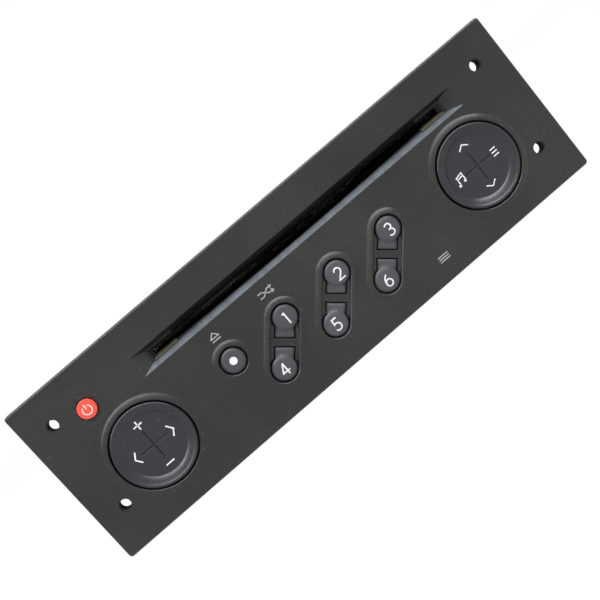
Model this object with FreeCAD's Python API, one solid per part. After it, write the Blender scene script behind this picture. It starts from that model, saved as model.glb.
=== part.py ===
import FreeCAD, Part
import math
import os

os.makedirs("parts", exist_ok=True)

# A slot-loading car cd unit: a moulded front, a folded steel case and the disc mechanism in it.
# Sizes are in millimetres. X runs across the front, Y runs into the dashboard and Z runs up.
# X is zero midway across, Y midway deep and Z at the lower edge of the front panel.
# Depths are counted from the face of the front panel, towards the back.

# Front panel
panel_width = 203.0
panel_height = 62.0
panel_wall = 2.6
panel_side_depth = 6.0
panel_side_wall = 1.8
panel_corner_radius = 1.2
panel_edge_radius = 0.8
rim_wall = 1.5
rim_depth = 12.0
rib_wall = 1.2
rib_pitch = 25.0

# Holes for the two-pronged release tools
prong_radius = 2.0
prong_rise = 35.1
prong_tube_wall = 1.4
prong_tube_depth = 5.2

# Case
case_width = 178.0
case_height = 50.0
case_depth = 154.6
case_wall = 0.8
case_above_middle = 1.5
case_gap = 0.2

# Disc and its slot
disc_radius = 60.0
disc_thickness = 1.2
slot_x = 10.7
slot_above_middle = 15.6
slot_length = 128.2
slot_opening = 4.7
slot_bevel_across = 5.0
slot_bevel_up = 1.5
slot_bevel_depth = 3.0
slot_floor_depth = 5.0
slot_frame_depth = 5.6
slot_frame_margin = 3.0
lens_middle = 4.4
lens_end = 2.8
guide_length = 10.7
guide_gap = 0.08
guide_notch = 2.0
guide_flange = 0.8

# Preset keys
key_radius = 4.3
key_gap = 0.4
key_pitch = 22.55
first_key_x = -11.1
first_key_below_middle = 3.35
pair_length = 17.0
pair_slope = math.radians(49.2)
tail_half_width = 3.3
tail_neck_half_width = 3.1
tail_reach = 6.8
tail_front = 0.15
key_crown = 1.0
key_shoulder = 0.5
key_back = 2.9
key_edge_radius = 0.3
key_travel = 0.8
key_flange = 1.0
key_flange_margin = 0.5
key_rest_gap = 0.05
plunger_radius = 1.8
plunger_end = 4.2

# Eject key and power key
eject_x = -33.3
eject_below_middle = 3.1
power_inset = 9.8
power_above_middle = 16.1
power_radius = 3.35
power_gap = 0.25
power_crown = 0.75
power_dish_radius = 5.6
power_dish_depth = 0.4

# Collars round the keys and pads
collar_height = 0.95
collar_root = 0.5
key_collar_crest = 5.2
key_collar_outer = 7.1
pad_collar_crest = 15.3
pad_collar_outer = 17.3
pair_floor_sink = 0.4

# Rocking pads
pad_inset = 18.1
pad_below_middle = 7.15
pad_radius = 14.4
pad_gap = 0.4
pad_rim_width = 1.0
pad_proud = 1.1
pad_disc_radius = 10.8
pad_disc_depth = 0.6
pad_disc_wall = 1.4
pad_groove_reach = 5.8
pad_groove_width = 0.5
pad_groove_depth = 0.45
pad_wall = 1.4
pad_back = 4.0
pad_flange = 1.0
pad_flange_margin = 0.6
pad_tilt = 3.0
pad_post_radius = 1.3
pad_post_place = 11.0
pad_post_end = 4.6

# Gimbals that carry the pads
gimbal_depth = 3.6
gimbal_inner = 4.6
gimbal_outer = 6.2
gimbal_half_depth = 0.8
trunnion_radius = 0.7
trunnion_end = 7.9
trunnion_gap = 0.05
ear_start = 6.7
ear_wall = 1.4
ear_half_width = 1.5
ear_reach = 1.0
mount_radius = 8.5
mount_hole_radius = 3.0
mount_wall = 1.4

# Key mat and front board
mat_front = 6.4
mat_wall = 1.0
mat_gap = 0.05
dome_base_radius = 3.6
dome_top_radius = 2.2
pad_dome_base_radius = 2.2
pad_dome_top_radius = 1.5
board_wall = 1.6
board_edge_gap = 0.7
board_below_slot = 6.1
board_column_width = 25.0
boss_radius = 2.6
boss_gap = 0.4

# Screws
screw_radius = 1.25
screw_gap = 0.05
screw_head_radius = 2.4
screw_head_height = 1.4
screw_length = 5.0
recess_reach = 1.2
recess_width = 0.6
recess_depth = 0.7

# Side latches
latch_axis_depth = 60.0
latch_axis_out = 1.8
latch_pin_radius = 0.8
latch_pin_gap = 0.05
latch_knuckle_radius = 1.65
latch_wall = 0.8
latch_half_height = 4.0
latch_front = 17.0
latch_web_front = 44.0
latch_hump = 2.2
latch_swing = 3.0
latch_ear_wall = 0.8
latch_ear_reach = 3.0
latch_window_margin = 1.2

# Back of the case
sink_inset = 33.0
sink_width = 62.0
sink_margin = 3.5
sink_base = 3.0
sink_fin_depth = 11.0
sink_fin_wall = 1.4
sink_fins = 12
sink_screw_inset = 4.0
sink_screw_rise = 4.5
stud_x = 8.0
stud_below_top = 7.5
stud_radius = 2.5
stud_length = 15.0
stud_collar_radius = 5.0
stud_collar = 1.5
socket_inset = 21.0
socket_above_board = 9.0
socket_radius = 4.9
socket_wall = 1.5
socket_proud = 6.0
socket_depth = 16.0
connector_x = -25.0
connector_above_board = 0.1
connector_width = 42.0
connector_height = 26.0
connector_wall = 1.6
connector_proud = 8.0
connector_depth = 13.6
cavity_depth = 11.0
blade_width = 2.0
blade_wall = 0.8
blade_pitch = 4.6
blade_length = 6.4

# Screws and air openings in the case
lid_screw_depths = (88.0, 138.0)
lid_screw_drop = 4.5
lid_flange_drop = 8.5
lid_flange_front = 72.0
lid_flange_rear_gap = 8.0
bead_depths = (34.0, 112.0)
bead_width = 4.0
bead_inset = 20.0
bead_height = 0.6
cutout_gap = 0.1
vent_width = 3.0
vent_rise = 6.5
vent_length = 12.0
side_vent_front = 98.0
side_vent_pitch = 7.0
rear_vent_gap = 11.0
rear_vent_pitch = 5.0
floor_vent_depths = (50.0, 80.0, 110.0)
lid_vent_depths = (128.0, 136.0)
vent_start = -60.0
long_vent = 18.0
long_vent_pitch = 26.0

# Electronics
main_board_rise = 5.5
main_board_front = 18.0
main_board_gap = 3.0
pillar_radius = 3.0
pillar_front_gap = 8.0
pillar_rear_gap = 22.0
chip_width = 27.0
chip_height = 18.0
chip_wall = 4.5
chip_lead_pitch = 1.7
chip_lead_width = 0.7
tuner_width = 34.0
tuner_depth = 46.0
tuner_height = 13.0
capacitor_radius = 5.5
capacitor_height = 12.5
capacitor_pitch = 14.0
capacitor_rear_gap = 32.0
processor_width = 14.0
processor_place = (-20.0, 70.0)
driver_width = 12.0
driver_place = (24.0, 96.0)
memory_width = 10.0
memory_place = (20.0, 48.0)
small_chip_height = 2.0
solder_gap = 0.2
coil_out = 16.0
coil_rear_gap = 52.0
coil_outer = 9.0
coil_inner = 4.0
coil_height = 8.0
ribbon_width = 26.0
ribbon_wall = 0.5
ribbon_bend = 4.0

# Disc mechanism: frame and deck
mech_side_room = 17.5
mech_wall = 1.0
mech_front = 12.0
mech_rear = 152.6
mech_below_slot = 17.1
mech_above_slot = 6.9
mech_foot_gap = 0.3
foot_places = (24.0, 142.0)
foot_half_length = 6.0
outrigger_rear = 62.0
outrigger_width = 10.0
mech_window_half_width = 48.0
mech_window_ahead = 40.0
mech_window_behind = 46.0
mech_mouth = 4.8
mech_rear_height = 10.0
guide_rear = 42.0
guide_above_slot = 4.0
guide_edge_height = 2.2
guide_rib_depths = (16.0, 27.0, 38.5)
guide_rib_wall = 1.2
guide_lug_depths = (18.5, 38.0)
guide_lug_above_slot = 4.3
guide_lug_wall = 1.8
guide_lug_half_length = 3.0
tab_reach = 6.5
felt_wall = 1.4
felt_slit = 1.6
felt_height = 4.5
spindle_depth = 90.0
deck_below_slot = 9.6
deck_front = 52.0
deck_rear = 150.0
deck_wall = 1.0
deck_side_gap = 0.9
damper_radius = 4.5
damper_waist = 3.2
damper_inset = 15.5
damper_end_gap = 8.0

# Loading roller and its bracket
roller_depth = 22.0
roller_radius = 5.0
roller_waist = 4.2
roller_inset = 9.5
roller_shaft_radius = 1.5
roller_disc_gap = 0.4
running_gap = 0.05
bracket_pivot_depth = 44.0
bracket_pivot_below_slot = 8.6
bracket_inset = 4.5
bracket_wall = 1.0
bracket_arm_half_width = 3.4
bracket_drop = 7.8
cam_pin_radius = 1.0
cam_gap = 0.15
bracket_pin_depth = 28.0
bracket_pin_below_slot = 7.1
bracket_plate_front = 27.0
bracket_plate_rear = 42.0
bracket_plate_drop = 6.7
bracket_plate_wall = 0.8

# Gears
gear_module = 0.5
gear_pressure = math.radians(25)
gear_addendum = 0.8
gear_dedendum = 1.1
gear_backlash = 0.1
gear_centre_gap = 0.05
gear_layer = 2.0
gear_layer_gap = 0.4
stud_pin_radius = 1.0
roller_teeth = 16
second_small_teeth = 12
second_big_teeth = 28
first_small_teeth = 12
first_big_teeth = 30
pinion_teeth = 12
first_gear_angle = math.radians(-40)
motor_angle = math.radians(-20)
motor_width = 15.5
motor_height = 12.0
motor_length = 16.0
gear_bracket_ahead = 4.8
gear_bracket_lip = 5.0

# Mode slide and the motor that drives it
slide_wall = 1.2
slide_gap = 0.4
slide_travel = 6.0
slide_height = 7.3
slide_below_slot = 0.1
slide_front = 22.0
slide_rear = 138.0
slide_stud_places = (62.0, 108.0)
slide_stud_radius = 1.5
mode_motor_depth = 126.0
mode_motor_below_slot = 11.2
mode_motor_radius = 4.6
mode_motor_length = 18.0

# Clamp arm, given as it lies when it is closed on a disc
clamp_pivot_depth = 146.0
clamp_pivot_above_slot = 3.9
clamp_open = 3.65
clamp_inset = 11.5
clamp_wall = 1.0
clamp_ear_wall = 1.2
clamp_pin_depth = 132.0
clamp_pin_below_slot = 0.4
clamp_pivot_radius = 1.2
clamp_ear_radius = 2.6
clamp_plate_step = 9.0
clamp_shoulder = 26.0
clamp_tongue = 12.0
clamp_tongue_reach = 6.0
clamp_hole_radius = 9.0
puck_radius = 13.0
puck_hole_radius = 8.6
puck_hub_radius = 4.0

# Spindle, pickup and sled drive
spindle_motor_radius = 12.5
spindle_motor_height = 5.2
spindle_shaft_radius = 1.0
turntable_radius = 14.0
turntable_drop = 3.0
cone_radius = 7.4
cone_top_radius = 5.0
cone_height = 1.7
lens_start_radius = 24.0
sled_travel = 34.0
sled_half_length = 9.0
sled_half_width = 8.0
rod_below_slot = 5.8
main_rod_radius = 1.5
sub_rod_radius = 1.0
rod_offset = 12.0
rod_start = 10.5
rack_length = 40.0
sled_big_teeth = 28
sled_small_teeth = 12
sled_gear_across = 30.3
sled_gear_ahead = 24.0
sled_motor_angle = math.radians(215)
sled_motor_radius = 6.0
sled_motor_height = 8.0
lens_holder = 9.0
lens_radius = 2.4
lens_focus = 0.5

# Places that follow from the sizes above
panel_middle = panel_height / 2
slot_z = panel_middle + slot_above_middle
first_key_z = panel_middle - first_key_below_middle
eject_z = panel_middle - eject_below_middle
power_x = power_inset - case_width / 2
power_z = panel_middle + power_above_middle
pad_x = case_width / 2 - pad_inset
pad_z = panel_middle - pad_below_middle
board_top = slot_z - board_below_slot
case_front = prong_tube_depth + case_gap
case_rear = case_front + case_depth
case_bottom = panel_middle + case_above_middle - case_height / 2
case_top = case_bottom + case_height
case_inner = case_width / 2 - case_wall
sink_rear = case_rear + sink_base + sink_fin_depth
stud_rear = case_rear + stud_collar + stud_length
front_y = (pad_proud - max(sink_rear, stud_rear)) / 2
prong_x = case_width / 2 + prong_radius
prong_heights = (panel_middle + case_above_middle - prong_rise / 2,
                 panel_middle + case_above_middle + prong_rise / 2)
main_board_z = case_bottom + main_board_rise
sink_x = case_width / 2 - sink_inset
sink_bottom = case_bottom + sink_margin
sink_top = case_top - sink_margin
stud_z = case_top - stud_below_top
socket_x = socket_inset - case_width / 2
socket_z = main_board_z + socket_above_board
connector_z = main_board_z + board_wall + connector_above_board + connector_height / 2
mech_half_width = case_width / 2 - mech_side_room
mech_bottom = slot_z - mech_below_slot
mech_top = slot_z + mech_above_slot
deck_z = slot_z - deck_below_slot
roller_half_length = mech_half_width - roller_inset
bracket_arm = mech_half_width - bracket_inset
bracket_pivot_z = slot_z - bracket_pivot_below_slot
bracket_pin_z = slot_z - bracket_pin_below_slot
slide_top = slot_z - slide_below_slot
slide_bottom = slide_top - slide_height
mode_motor_z = slot_z - mode_motor_below_slot
clamp_pivot_z = slot_z + clamp_pivot_above_slot
clamp_half_width = mech_half_width - clamp_inset
clamp_pin_z = slot_z - clamp_pin_below_slot
rod_z = slot_z - rod_below_slot
sled_gear_x = slot_x + sled_gear_across
sled_gear_depth = spindle_depth - sled_gear_ahead
board_front = mat_front + mat_wall
board_back = board_front + board_wall
key_flange_front = panel_wall + key_rest_gap
mech_inner = mech_half_width - mech_wall
disc_bottom = slot_z - disc_thickness / 2
roller_z = disc_bottom - roller_disc_gap - roller_radius
turntable_top = disc_bottom - turntable_drop + 0.6
deck_top = deck_z + deck_wall

across = FreeCAD.Vector(1, 0, 0)
inward = FreeCAD.Vector(0, 1, 0)
up = FreeCAD.Vector(0, 0, 1)


def at(x, depth, z):
    """The point x across, depth behind the panel's face and z up."""
    return FreeCAD.Vector(x, front_y + depth, z)


def block(xs, depths, zs):
    """A box between two limits each way."""
    low = at(min(xs), min(depths), min(zs))
    return Part.makeBox(abs(xs[1] - xs[0]), abs(depths[1] - depths[0]), abs(zs[1] - zs[0]), low)


def join(first, *others):
    """One solid from shapes that touch."""
    return first.fuse(list(others)).removeSplitter()


def outline(place, start, *steps):
    """A closed face: each step is a point, or a pair of points for an arc through the first."""
    edges = []
    here = place(*start)
    for step in steps + (start,):
        arc = isinstance(step[0], tuple)
        end = place(*(step[1] if arc else step))
        if arc:
            edges.append(Part.Arc(here, place(*step[0]), end).toShape())
        elif end.distanceToPoint(here) > 1e-7:
            edges.append(Part.LineSegment(here, end).toShape())
        here = end
    return Part.Face(Part.Wire(edges))


def turned_inward(x, z, start, *steps):
    """A profile of (radius, depth) turned about the line through x, z that runs inward."""
    face = outline(lambda r, depth: at(x + r, depth, z), start, *steps)
    return face.revolve(at(x, 0, z), inward, 360)


def turned_up(x, depth, start, *steps):
    """A profile of (radius, height) turned about the upright line through x, depth."""
    face = outline(lambda r, z: at(x + r, depth, z), start, *steps)
    return face.revolve(at(x, depth, 0), up, 360)


def turned_across(depth, z, start, *steps):
    """A profile of (x, radius) turned about the line through depth, z that runs across."""
    face = outline(lambda x, r: at(x, depth, z + r), start, *steps)
    return face.revolve(at(0, depth, z), across, 360)


def pin_inward(x, z, radius, depths):
    return Part.makeCylinder(radius, depths[1] - depths[0], at(x, depths[0], z), inward)


def pin_up(x, depth, radius, zs):
    return Part.makeCylinder(radius, zs[1] - zs[0], at(x, depth, zs[0]), up)


def pin_across(depth, z, radius, xs):
    return Part.makeCylinder(radius, abs(xs[1] - xs[0]), at(min(xs), depth, z), across)


def plate_across(xs, start, *steps):
    """A plate with an outline of (depth, z) points, as thick as xs is wide."""
    face = outline(lambda depth, z: at(min(xs), depth, z), start, *steps)
    return face.extrude(across * abs(xs[1] - xs[0]))


def plate_up(zs, start, *steps):
    """A plate with an outline of (x, depth) points."""
    return outline(lambda x, depth: at(x, depth, zs[0]), start, *steps).extrude(up * (zs[1] - zs[0]))


def plate_inward(depths, start, *steps):
    """A plate with an outline of (x, z) points."""
    face = outline(lambda x, z: at(x, depths[0], z), start, *steps)
    return face.extrude(inward * (depths[1] - depths[0]))


def capsule_across(xs, p, q, radius):
    """A round-ended bar between the (depth, z) points p and q, as thick as xs is wide."""
    length = math.dist(p, q)
    along = ((q[0] - p[0]) / length, (q[1] - p[1]) / length)
    side = (-along[1] * radius, along[0] * radius)
    tip = (along[0] * radius, along[1] * radius)
    return plate_across(xs, (p[0] + side[0], p[1] + side[1]),
                        ((p[0] - tip[0], p[1] - tip[1]), (p[0] - side[0], p[1] - side[1])),
                        (q[0] - side[0], q[1] - side[1]),
                        ((q[0] + tip[0], q[1] + tip[1]), (q[0] + side[0], q[1] + side[1])))


def slot_across(xs, points, radius):
    """A slot along a row of (depth, z) points."""
    bars = [capsule_across(xs, p, q, radius) for p, q in zip(points, points[1:])]
    return join(*bars) if len(bars) > 1 else bars[0]


def soften(shape, radius, chosen):
    """Round the edges that chosen says yes to."""
    return shape.makeFillet(radius, [e for e in shape.Edges if chosen(e)])


def lies_at_depth(edge, depth):
    box = edge.BoundBox
    return abs(box.YMin - front_y - depth) < 1e-4 and abs(box.YMax - front_y - depth) < 1e-4


def runs_inward(edge):
    box = edge.BoundBox
    return box.XLength < 1e-4 and box.ZLength < 1e-4


def swung(point, pivot, degrees):
    """A (depth, z) point turned about a pivot, positive as the right-hand rule about X has it."""
    a = math.radians(degrees)
    d, z = point[0] - pivot[0], point[1] - pivot[1]
    return (pivot[0] + d * math.cos(a) - z * math.sin(a), pivot[1] + d * math.sin(a) + z * math.cos(a))


def vents(xs, depths, zs, pitch, count, step):
    """A row of equal openings, each moved by step from the one before."""
    return [block(xs, depths, zs).translated(step * (pitch * i)) for i in range(count)]


def pan_screw(place, direction, length=screw_length):
    """A pan-head screw with a cross recess, its head's underside at place, pointing along direction."""
    head = Part.makeCylinder(screw_head_radius, screw_head_height, place, direction * -1)
    rounded = soften(head, screw_head_height / 2, lambda e: e.CenterOfMass.distanceToPoint(
        place - direction * screw_head_height) < 1e-3)
    side = across if abs(direction.z) > 0.5 else up
    over = direction.cross(side)
    top = place - direction * (screw_head_height + 0.1)
    cross = []
    for long, short in ((side * recess_reach, over * (recess_width / 2)),
                        (over * recess_reach, side * (recess_width / 2))):
        corners = [top - long - short, top + long - short, top + long + short, top - long + short]
        bar = Part.Face(Part.makePolygon(corners + corners[:1]))
        cross.append(bar.extrude(direction * (recess_depth + 0.1)))
    shank = Part.makeCylinder(screw_radius, length, place, direction)
    return rounded.fuse(shank).cut(cross).removeSplitter()


def screw_hole(place, direction, length=screw_length):
    return Part.makeCylinder(screw_radius + screw_gap, length, place, direction)


# Gear forms

def pitch_radius(teeth):
    return teeth * gear_module / 2


def gear_distance(teeth, other):
    """How far apart two meshed gears stand."""
    return pitch_radius(teeth) + pitch_radius(other) + gear_centre_gap


def tooth_half_angle(teeth, radius):
    """Half the angle that a tooth fills at a radius, from the involute of its base circle."""
    pitch = pitch_radius(teeth)
    base = pitch * math.cos(gear_pressure)

    def roll(r):
        a = math.acos(base / max(r, base))
        return math.tan(a) - a

    return (math.pi * gear_module / 2 - gear_backlash) / 2 / pitch + roll(pitch) - roll(radius)


def gear(origin, right, over, thickness, teeth, phase):
    """A spur gear on origin with one tooth at the angle phase from right towards over."""
    root = pitch_radius(teeth) - gear_dedendum * gear_module
    tip = pitch_radius(teeth) + gear_addendum * gear_module
    radii = [root + (tip - root) * i / 4 for i in range(5)]
    points = []
    for i in range(teeth):
        middle = phase + math.tau * i / teeth
        flank = [(r, middle - tooth_half_angle(teeth, r)) for r in radii]
        flank += [(r, middle + tooth_half_angle(teeth, r)) for r in reversed(radii)]
        points += [origin + right * (r * math.cos(a)) + over * (r * math.sin(a)) for r, a in flank]
    wire = Part.makePolygon(points + points[:1])
    return Part.Face(wire).extrude(right.cross(over) * thickness)


def meshing_phase(phase, teeth, line, other):
    """The phase of a gear that meshes with another whose phase is known, along a line of centres."""
    offset = (phase - line) * teeth / math.tau
    return line + math.pi + (0.5 - offset) * math.tau / other


def rack(origin, along, out, thickness, length, first_tooth):
    """Rack teeth from origin along a line, pointing out, with a tooth centred at first_tooth."""
    pitch = math.pi * gear_module
    lean = math.tan(gear_pressure)
    tip, root = gear_addendum * gear_module, gear_dedendum * gear_module
    half = (pitch / 2 - gear_backlash) / 2
    middles = [first_tooth + pitch * i for i in range(int((length - first_tooth - half) / pitch) + 1)]
    points = []
    for m in middles:
        points += [(m - half - root * lean, -root), (m - half + tip * lean, tip),
                   (m + half - tip * lean, tip), (m + half + root * lean, -root)]
    back = root + 2 * gear_module
    points += [(middles[-1] + pitch, -root), (middles[-1] + pitch, -back), (0, -back), (0, -root)]
    corners = [origin + along * u + out * v for u, v in points]
    return Part.Face(Part.makePolygon(corners + corners[:1])).extrude(along.cross(out) * thickness)


# Front panel and what shows on it

def pair_line():
    """The direction from an upper key to its lower partner, and the side of that line."""
    toward = (-math.cos(pair_slope), -math.sin(pair_slope))
    return toward, (toward[1], -toward[0])


def key_places():
    """Centres of keys 1 to 6 as (x, z), each with the sign that points its tail at its partner."""
    toward, _ = pair_line()
    uppers = [(first_key_x + key_pitch * i, first_key_z) for i in range(3)]
    lowers = [(x + toward[0] * pair_length, z + toward[1] * pair_length) for x, z in uppers]
    return [(place, 1) for place in uppers] + [(place, -1) for place in lowers]


def key_prism(place, sign, margin, depths):
    """The keyhole outline of a preset key, grown by margin, between two depths."""
    toward, side = pair_line()
    radius = key_radius + margin
    neck, wide, reach = tail_neck_half_width + margin, tail_half_width + margin, tail_reach + margin
    start = math.sqrt(radius ** 2 - neck ** 2)

    def spot(u, v):
        return (place[0] + sign * (toward[0] * u + side[0] * v),
                place[1] + sign * (toward[1] * u + side[1] * v))

    return plate_inward(depths, spot(start, neck), spot(reach, wide), spot(reach, -wide),
                        spot(start, -neck), (spot(-radius, 0), spot(start, neck)))


def collar_face(place, inner, crest, outer):
    """The section of a raised rounded collar: radius out from a line, and depth."""
    middle_in, middle_out = (inner + crest) / 2, (crest + outer) / 2
    return outline(place, (inner, collar_root), (inner, 0),
                   ((middle_in, -collar_height * 0.8), (crest, -collar_height)),
                   ((middle_out, -collar_height * 0.62), (outer, 0)), (outer, collar_root))


def round_collar(x, z, inner, crest, outer):
    face = collar_face(lambda r, depth: at(x + r, depth, z), inner, crest, outer)
    return face.revolve(at(x, 0, z), inward, 360)


def pair_collar(upper):
    """The collar that runs round a pair of keys."""
    toward, side = pair_line()
    lower = (upper[0] + toward[0] * pair_length, upper[1] + toward[1] * pair_length)
    reach = FreeCAD.Vector(lower[0] - upper[0], 0, lower[1] - upper[1])
    inner = key_radius + key_gap

    def section(end, sign):
        return collar_face(lambda r, depth: at(end[0] + sign * side[0] * r, depth,
                                               end[1] + sign * side[1] * r),
                           inner, key_collar_crest, key_collar_outer)

    return join(section(upper, 1).revolve(at(upper[0], 0, upper[1]), inward, 180),
                section(lower, -1).revolve(at(lower[0], 0, lower[1]), inward, 180),
                section(upper, 1).extrude(reach), section(upper, -1).extrude(reach))


def pair_floor(upper):
    """The sunk floor inside a pair's collar, as a cutter."""
    toward, side = pair_line()
    lower = (upper[0] + toward[0] * pair_length, upper[1] + toward[1] * pair_length)
    r = key_radius + key_gap

    def spot(end, u, v):
        return (end[0] + toward[0] * u + side[0] * v, end[1] + toward[1] * u + side[1] * v)

    return plate_inward((-collar_height - 1, pair_floor_sink), spot(upper, 0, r),
                        (spot(upper, -r, 0), spot(upper, 0, -r)), spot(lower, 0, -r),
                        (spot(lower, r, 0), spot(lower, 0, r)))


def slot_half_sizes(depth):
    """Half the length and half the height of the slot's sloping recess at a depth."""
    share = 1 - depth / slot_bevel_depth
    return (slot_length / 2 + slot_bevel_across * share, slot_opening / 2 + slot_bevel_up * share)


def slot_recess():
    rings = []
    for depth in (-1.0, slot_floor_depth):
        a, b = slot_half_sizes(depth)
        corners = [at(slot_x + i * a, depth, slot_z + j * b) for i, j in ((-1, -1), (1, -1), (1, 1), (-1, 1))]
        rings.append(Part.makePolygon(corners + corners[:1]))
    return Part.makeLoft(rings, True, True)


def slot_lens():
    """The opening that the disc passes, higher in the middle than at its ends."""
    a, b, c = slot_length / 2 - guide_length, lens_end / 2, lens_middle / 2
    return plate_inward((0, slot_frame_depth + 1), (slot_x - a, slot_z - b),
                        ((slot_x, slot_z - c), (slot_x + a, slot_z - b)), (slot_x + a, slot_z + b),
                        ((slot_x, slot_z + c), (slot_x - a, slot_z + b)))


def guide_window(sign, gap=0.0):
    inner, outer = slot_length / 2 - guide_length + gap, slot_length / 2 - gap
    half = slot_opening / 2 - gap
    return block((slot_x + sign * inner, slot_x + sign * outer),
                 (slot_bevel_depth, slot_frame_depth), (slot_z - half, slot_z + half))


def boss_places():
    """Where the front board is screwed to the panel, as (x, z)."""
    low = case_bottom + case_wall + rim_wall + boss_radius + 1.8
    high = board_top - boss_radius - 1.0
    middle = pad_x - pad_radius - 6.5
    column = board_column_x() - boss_radius - 2.6
    return [(-middle, low), (middle, low), (-middle, high), (middle, high),
            (column, case_top - case_wall - rim_wall - boss_radius - 3.2)]


def board_column_x():
    """Inner edge of the board's left column, which reaches up behind the power key."""
    return -(case_inner - rim_wall - board_edge_gap) + board_column_width


def front_panel():
    half = panel_width / 2
    body = block((-half, half), (0, panel_side_depth), (0, panel_height))
    body = soften(body, panel_corner_radius, runs_inward)
    body = soften(body, panel_edge_radius, lambda e: lies_at_depth(e, 0))
    inner = half - panel_side_wall
    body = body.cut(block((-inner, inner), (panel_wall, panel_side_depth),
                          (panel_side_wall, panel_height - panel_side_wall)))
    additions = [panel_rim(), slot_frame()] + panel_ribs()
    tube = (panel_wall / 2, prong_tube_depth)
    additions += [pin_inward(sx * prong_x, z, prong_radius + prong_tube_wall, tube)
                  for sx in (-1, 1) for z in prong_heights]
    additions += [pin_inward(x, z, boss_radius, (panel_wall / 2, board_front)) for x, z in boss_places()]
    additions += [round_collar(sx * pad_x, pad_z, pad_radius + pad_gap, pad_collar_crest, pad_collar_outer)
                  for sx in (-1, 1)]
    additions.append(round_collar(eject_x, eject_z, key_radius + key_gap, key_collar_crest, key_collar_outer))
    additions += [pair_collar(place) for place, sign in key_places() if sign > 0]
    body = body.fuse(additions)
    return body.cut(panel_openings()).removeSplitter()


def panel_rim():
    """The wall behind the panel that fits inside the front of the case."""
    x, low, high = case_inner - case_gap, case_bottom + case_wall + case_gap, case_top - case_wall - case_gap
    outer = block((-x, x), (panel_wall / 2, rim_depth), (low, high))
    return outer.cut(block((-x + rim_wall, x - rim_wall), (0, rim_depth + 1),
                           (low + rim_wall, high - rim_wall)))


def panel_ribs():
    """Stiffening ribs between the panel's sides and its rim."""
    depths = (panel_wall / 2, prong_tube_depth - 0.4)
    edge, rim = panel_width / 2 - panel_side_wall / 2, case_inner - case_gap
    low, high = case_bottom + case_wall + case_gap, case_top - case_wall - case_gap
    ribs = []
    for i in range(int(panel_width / 2 / rib_pitch)):
        for x in {rib_pitch * (i + 0.5), -rib_pitch * (i + 0.5)}:
            ribs.append(block((x - rib_wall / 2, x + rib_wall / 2), depths, (panel_side_wall / 2, low)))
            ribs.append(block((x - rib_wall / 2, x + rib_wall / 2), depths,
                              (high, panel_height - panel_side_wall / 2)))
    for z in prong_heights + ((prong_heights[0] + prong_heights[1]) / 2,):
        for side in (-1, 1):
            start = rim if z not in prong_heights else prong_x + prong_radius + prong_tube_wall / 2
            ribs.append(block((side * start, side * edge), depths, (z - rib_wall / 2, z + rib_wall / 2)))
    return ribs


def slot_frame():
    """The thicker wall behind the slot."""
    a = slot_length / 2 + slot_frame_margin
    b = slot_opening / 2 + slot_frame_margin
    return block((slot_x - a, slot_x + a), (panel_wall / 2, slot_frame_depth), (slot_z - b, slot_z + b))


def panel_openings():
    through = (-collar_height - 1, panel_wall + 1)
    cutters = [slot_recess(), slot_lens(), guide_window(-1), guide_window(1)]
    cutters += [pin_inward(sx * prong_x, z, prong_radius, (-1, prong_tube_depth + 1))
                for sx in (-1, 1) for z in prong_heights]
    cutters += [pin_inward(sx * pad_x, pad_z, pad_radius + pad_gap, through) for sx in (-1, 1)]
    cutters.append(pin_inward(eject_x, eject_z, key_radius + key_gap, through))
    cutters.append(pin_inward(power_x, power_z, power_radius + power_gap, through))
    rim = power_radius + power_gap
    cutters.append(turned_inward(power_x, power_z, (0, -1), (power_dish_radius, -1), (power_dish_radius, 0),
                                 (((power_dish_radius + rim) / 2, power_dish_depth * 0.8),
                                  (rim, power_dish_depth)), (0, power_dish_depth)))
    # Room for the flanges where they reach the rim
    behind = (panel_wall, mat_front)
    cutters += [pin_inward(sx * pad_x, pad_z, pad_flange_radius() + 0.6, behind) for sx in (-1, 1)]
    for place, sign in key_places():
        cutters.append(key_prism(place, sign, key_gap, through))
        cutters.append(key_prism(place, sign, key_gap + key_flange_margin + 0.4, behind))
        if sign > 0:
            cutters.append(pair_floor(place))
    cutters += [screw_hole(at(x, board_front, z), inward * -1, screw_length - board_wall)
                for x, z in boss_places()]
    return cutters


def slot_guide(sign):
    """A moulded insert at one end of the slot, with a funnel down to a notch for the disc's rim."""
    body = guide_window(sign, guide_gap)
    inner, outer = slot_length / 2 - guide_length + guide_gap, slot_length / 2 + guide_flange
    half = slot_opening / 2 + guide_flange
    flange = block((slot_x + sign * inner, slot_x + sign * outer),
                   (slot_frame_depth, slot_frame_depth + guide_flange), (slot_z - half, slot_z + half))
    wall = slot_opening / 2 - guide_gap
    ends = ((slot_bevel_depth - 0.01, slot_length / 2 - guide_gap - 0.4, wall - 0.3),
            (slot_floor_depth, slot_length / 2 - 2.0, guide_notch / 2))
    rings = []
    for depth, reach, b in ends:
        corners = [at(slot_x + sign * i, depth, slot_z + j)
                   for i, j in ((inner - 1, -b), (reach, -b), (reach, b), (inner - 1, b))]
        rings.append(Part.makePolygon(corners + corners[:1]))
    notch = block((slot_x + sign * (inner - 1), slot_x + sign * ends[1][1]),
                  (slot_floor_depth - 0.5, slot_frame_depth + guide_flange + 1),
                  (slot_z - guide_notch / 2, slot_z + guide_notch / 2))
    return join(body, flange).cut([Part.makeLoft(rings, True, True), notch]).removeSplitter()


def key_cap(x, z, radius, crown, back):
    """A round key's domed cap."""
    edge = key_edge_radius
    return turned_inward(x, z, (0, -crown), ((radius * 0.55, -crown * 0.8 - key_shoulder * 0.2),
                                             (radius - edge, -key_shoulder)),
                         ((radius - edge * 0.3, -key_shoulder + edge * 0.3), (radius, -key_shoulder + edge)),
                         (radius, back), (0, back))


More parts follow.
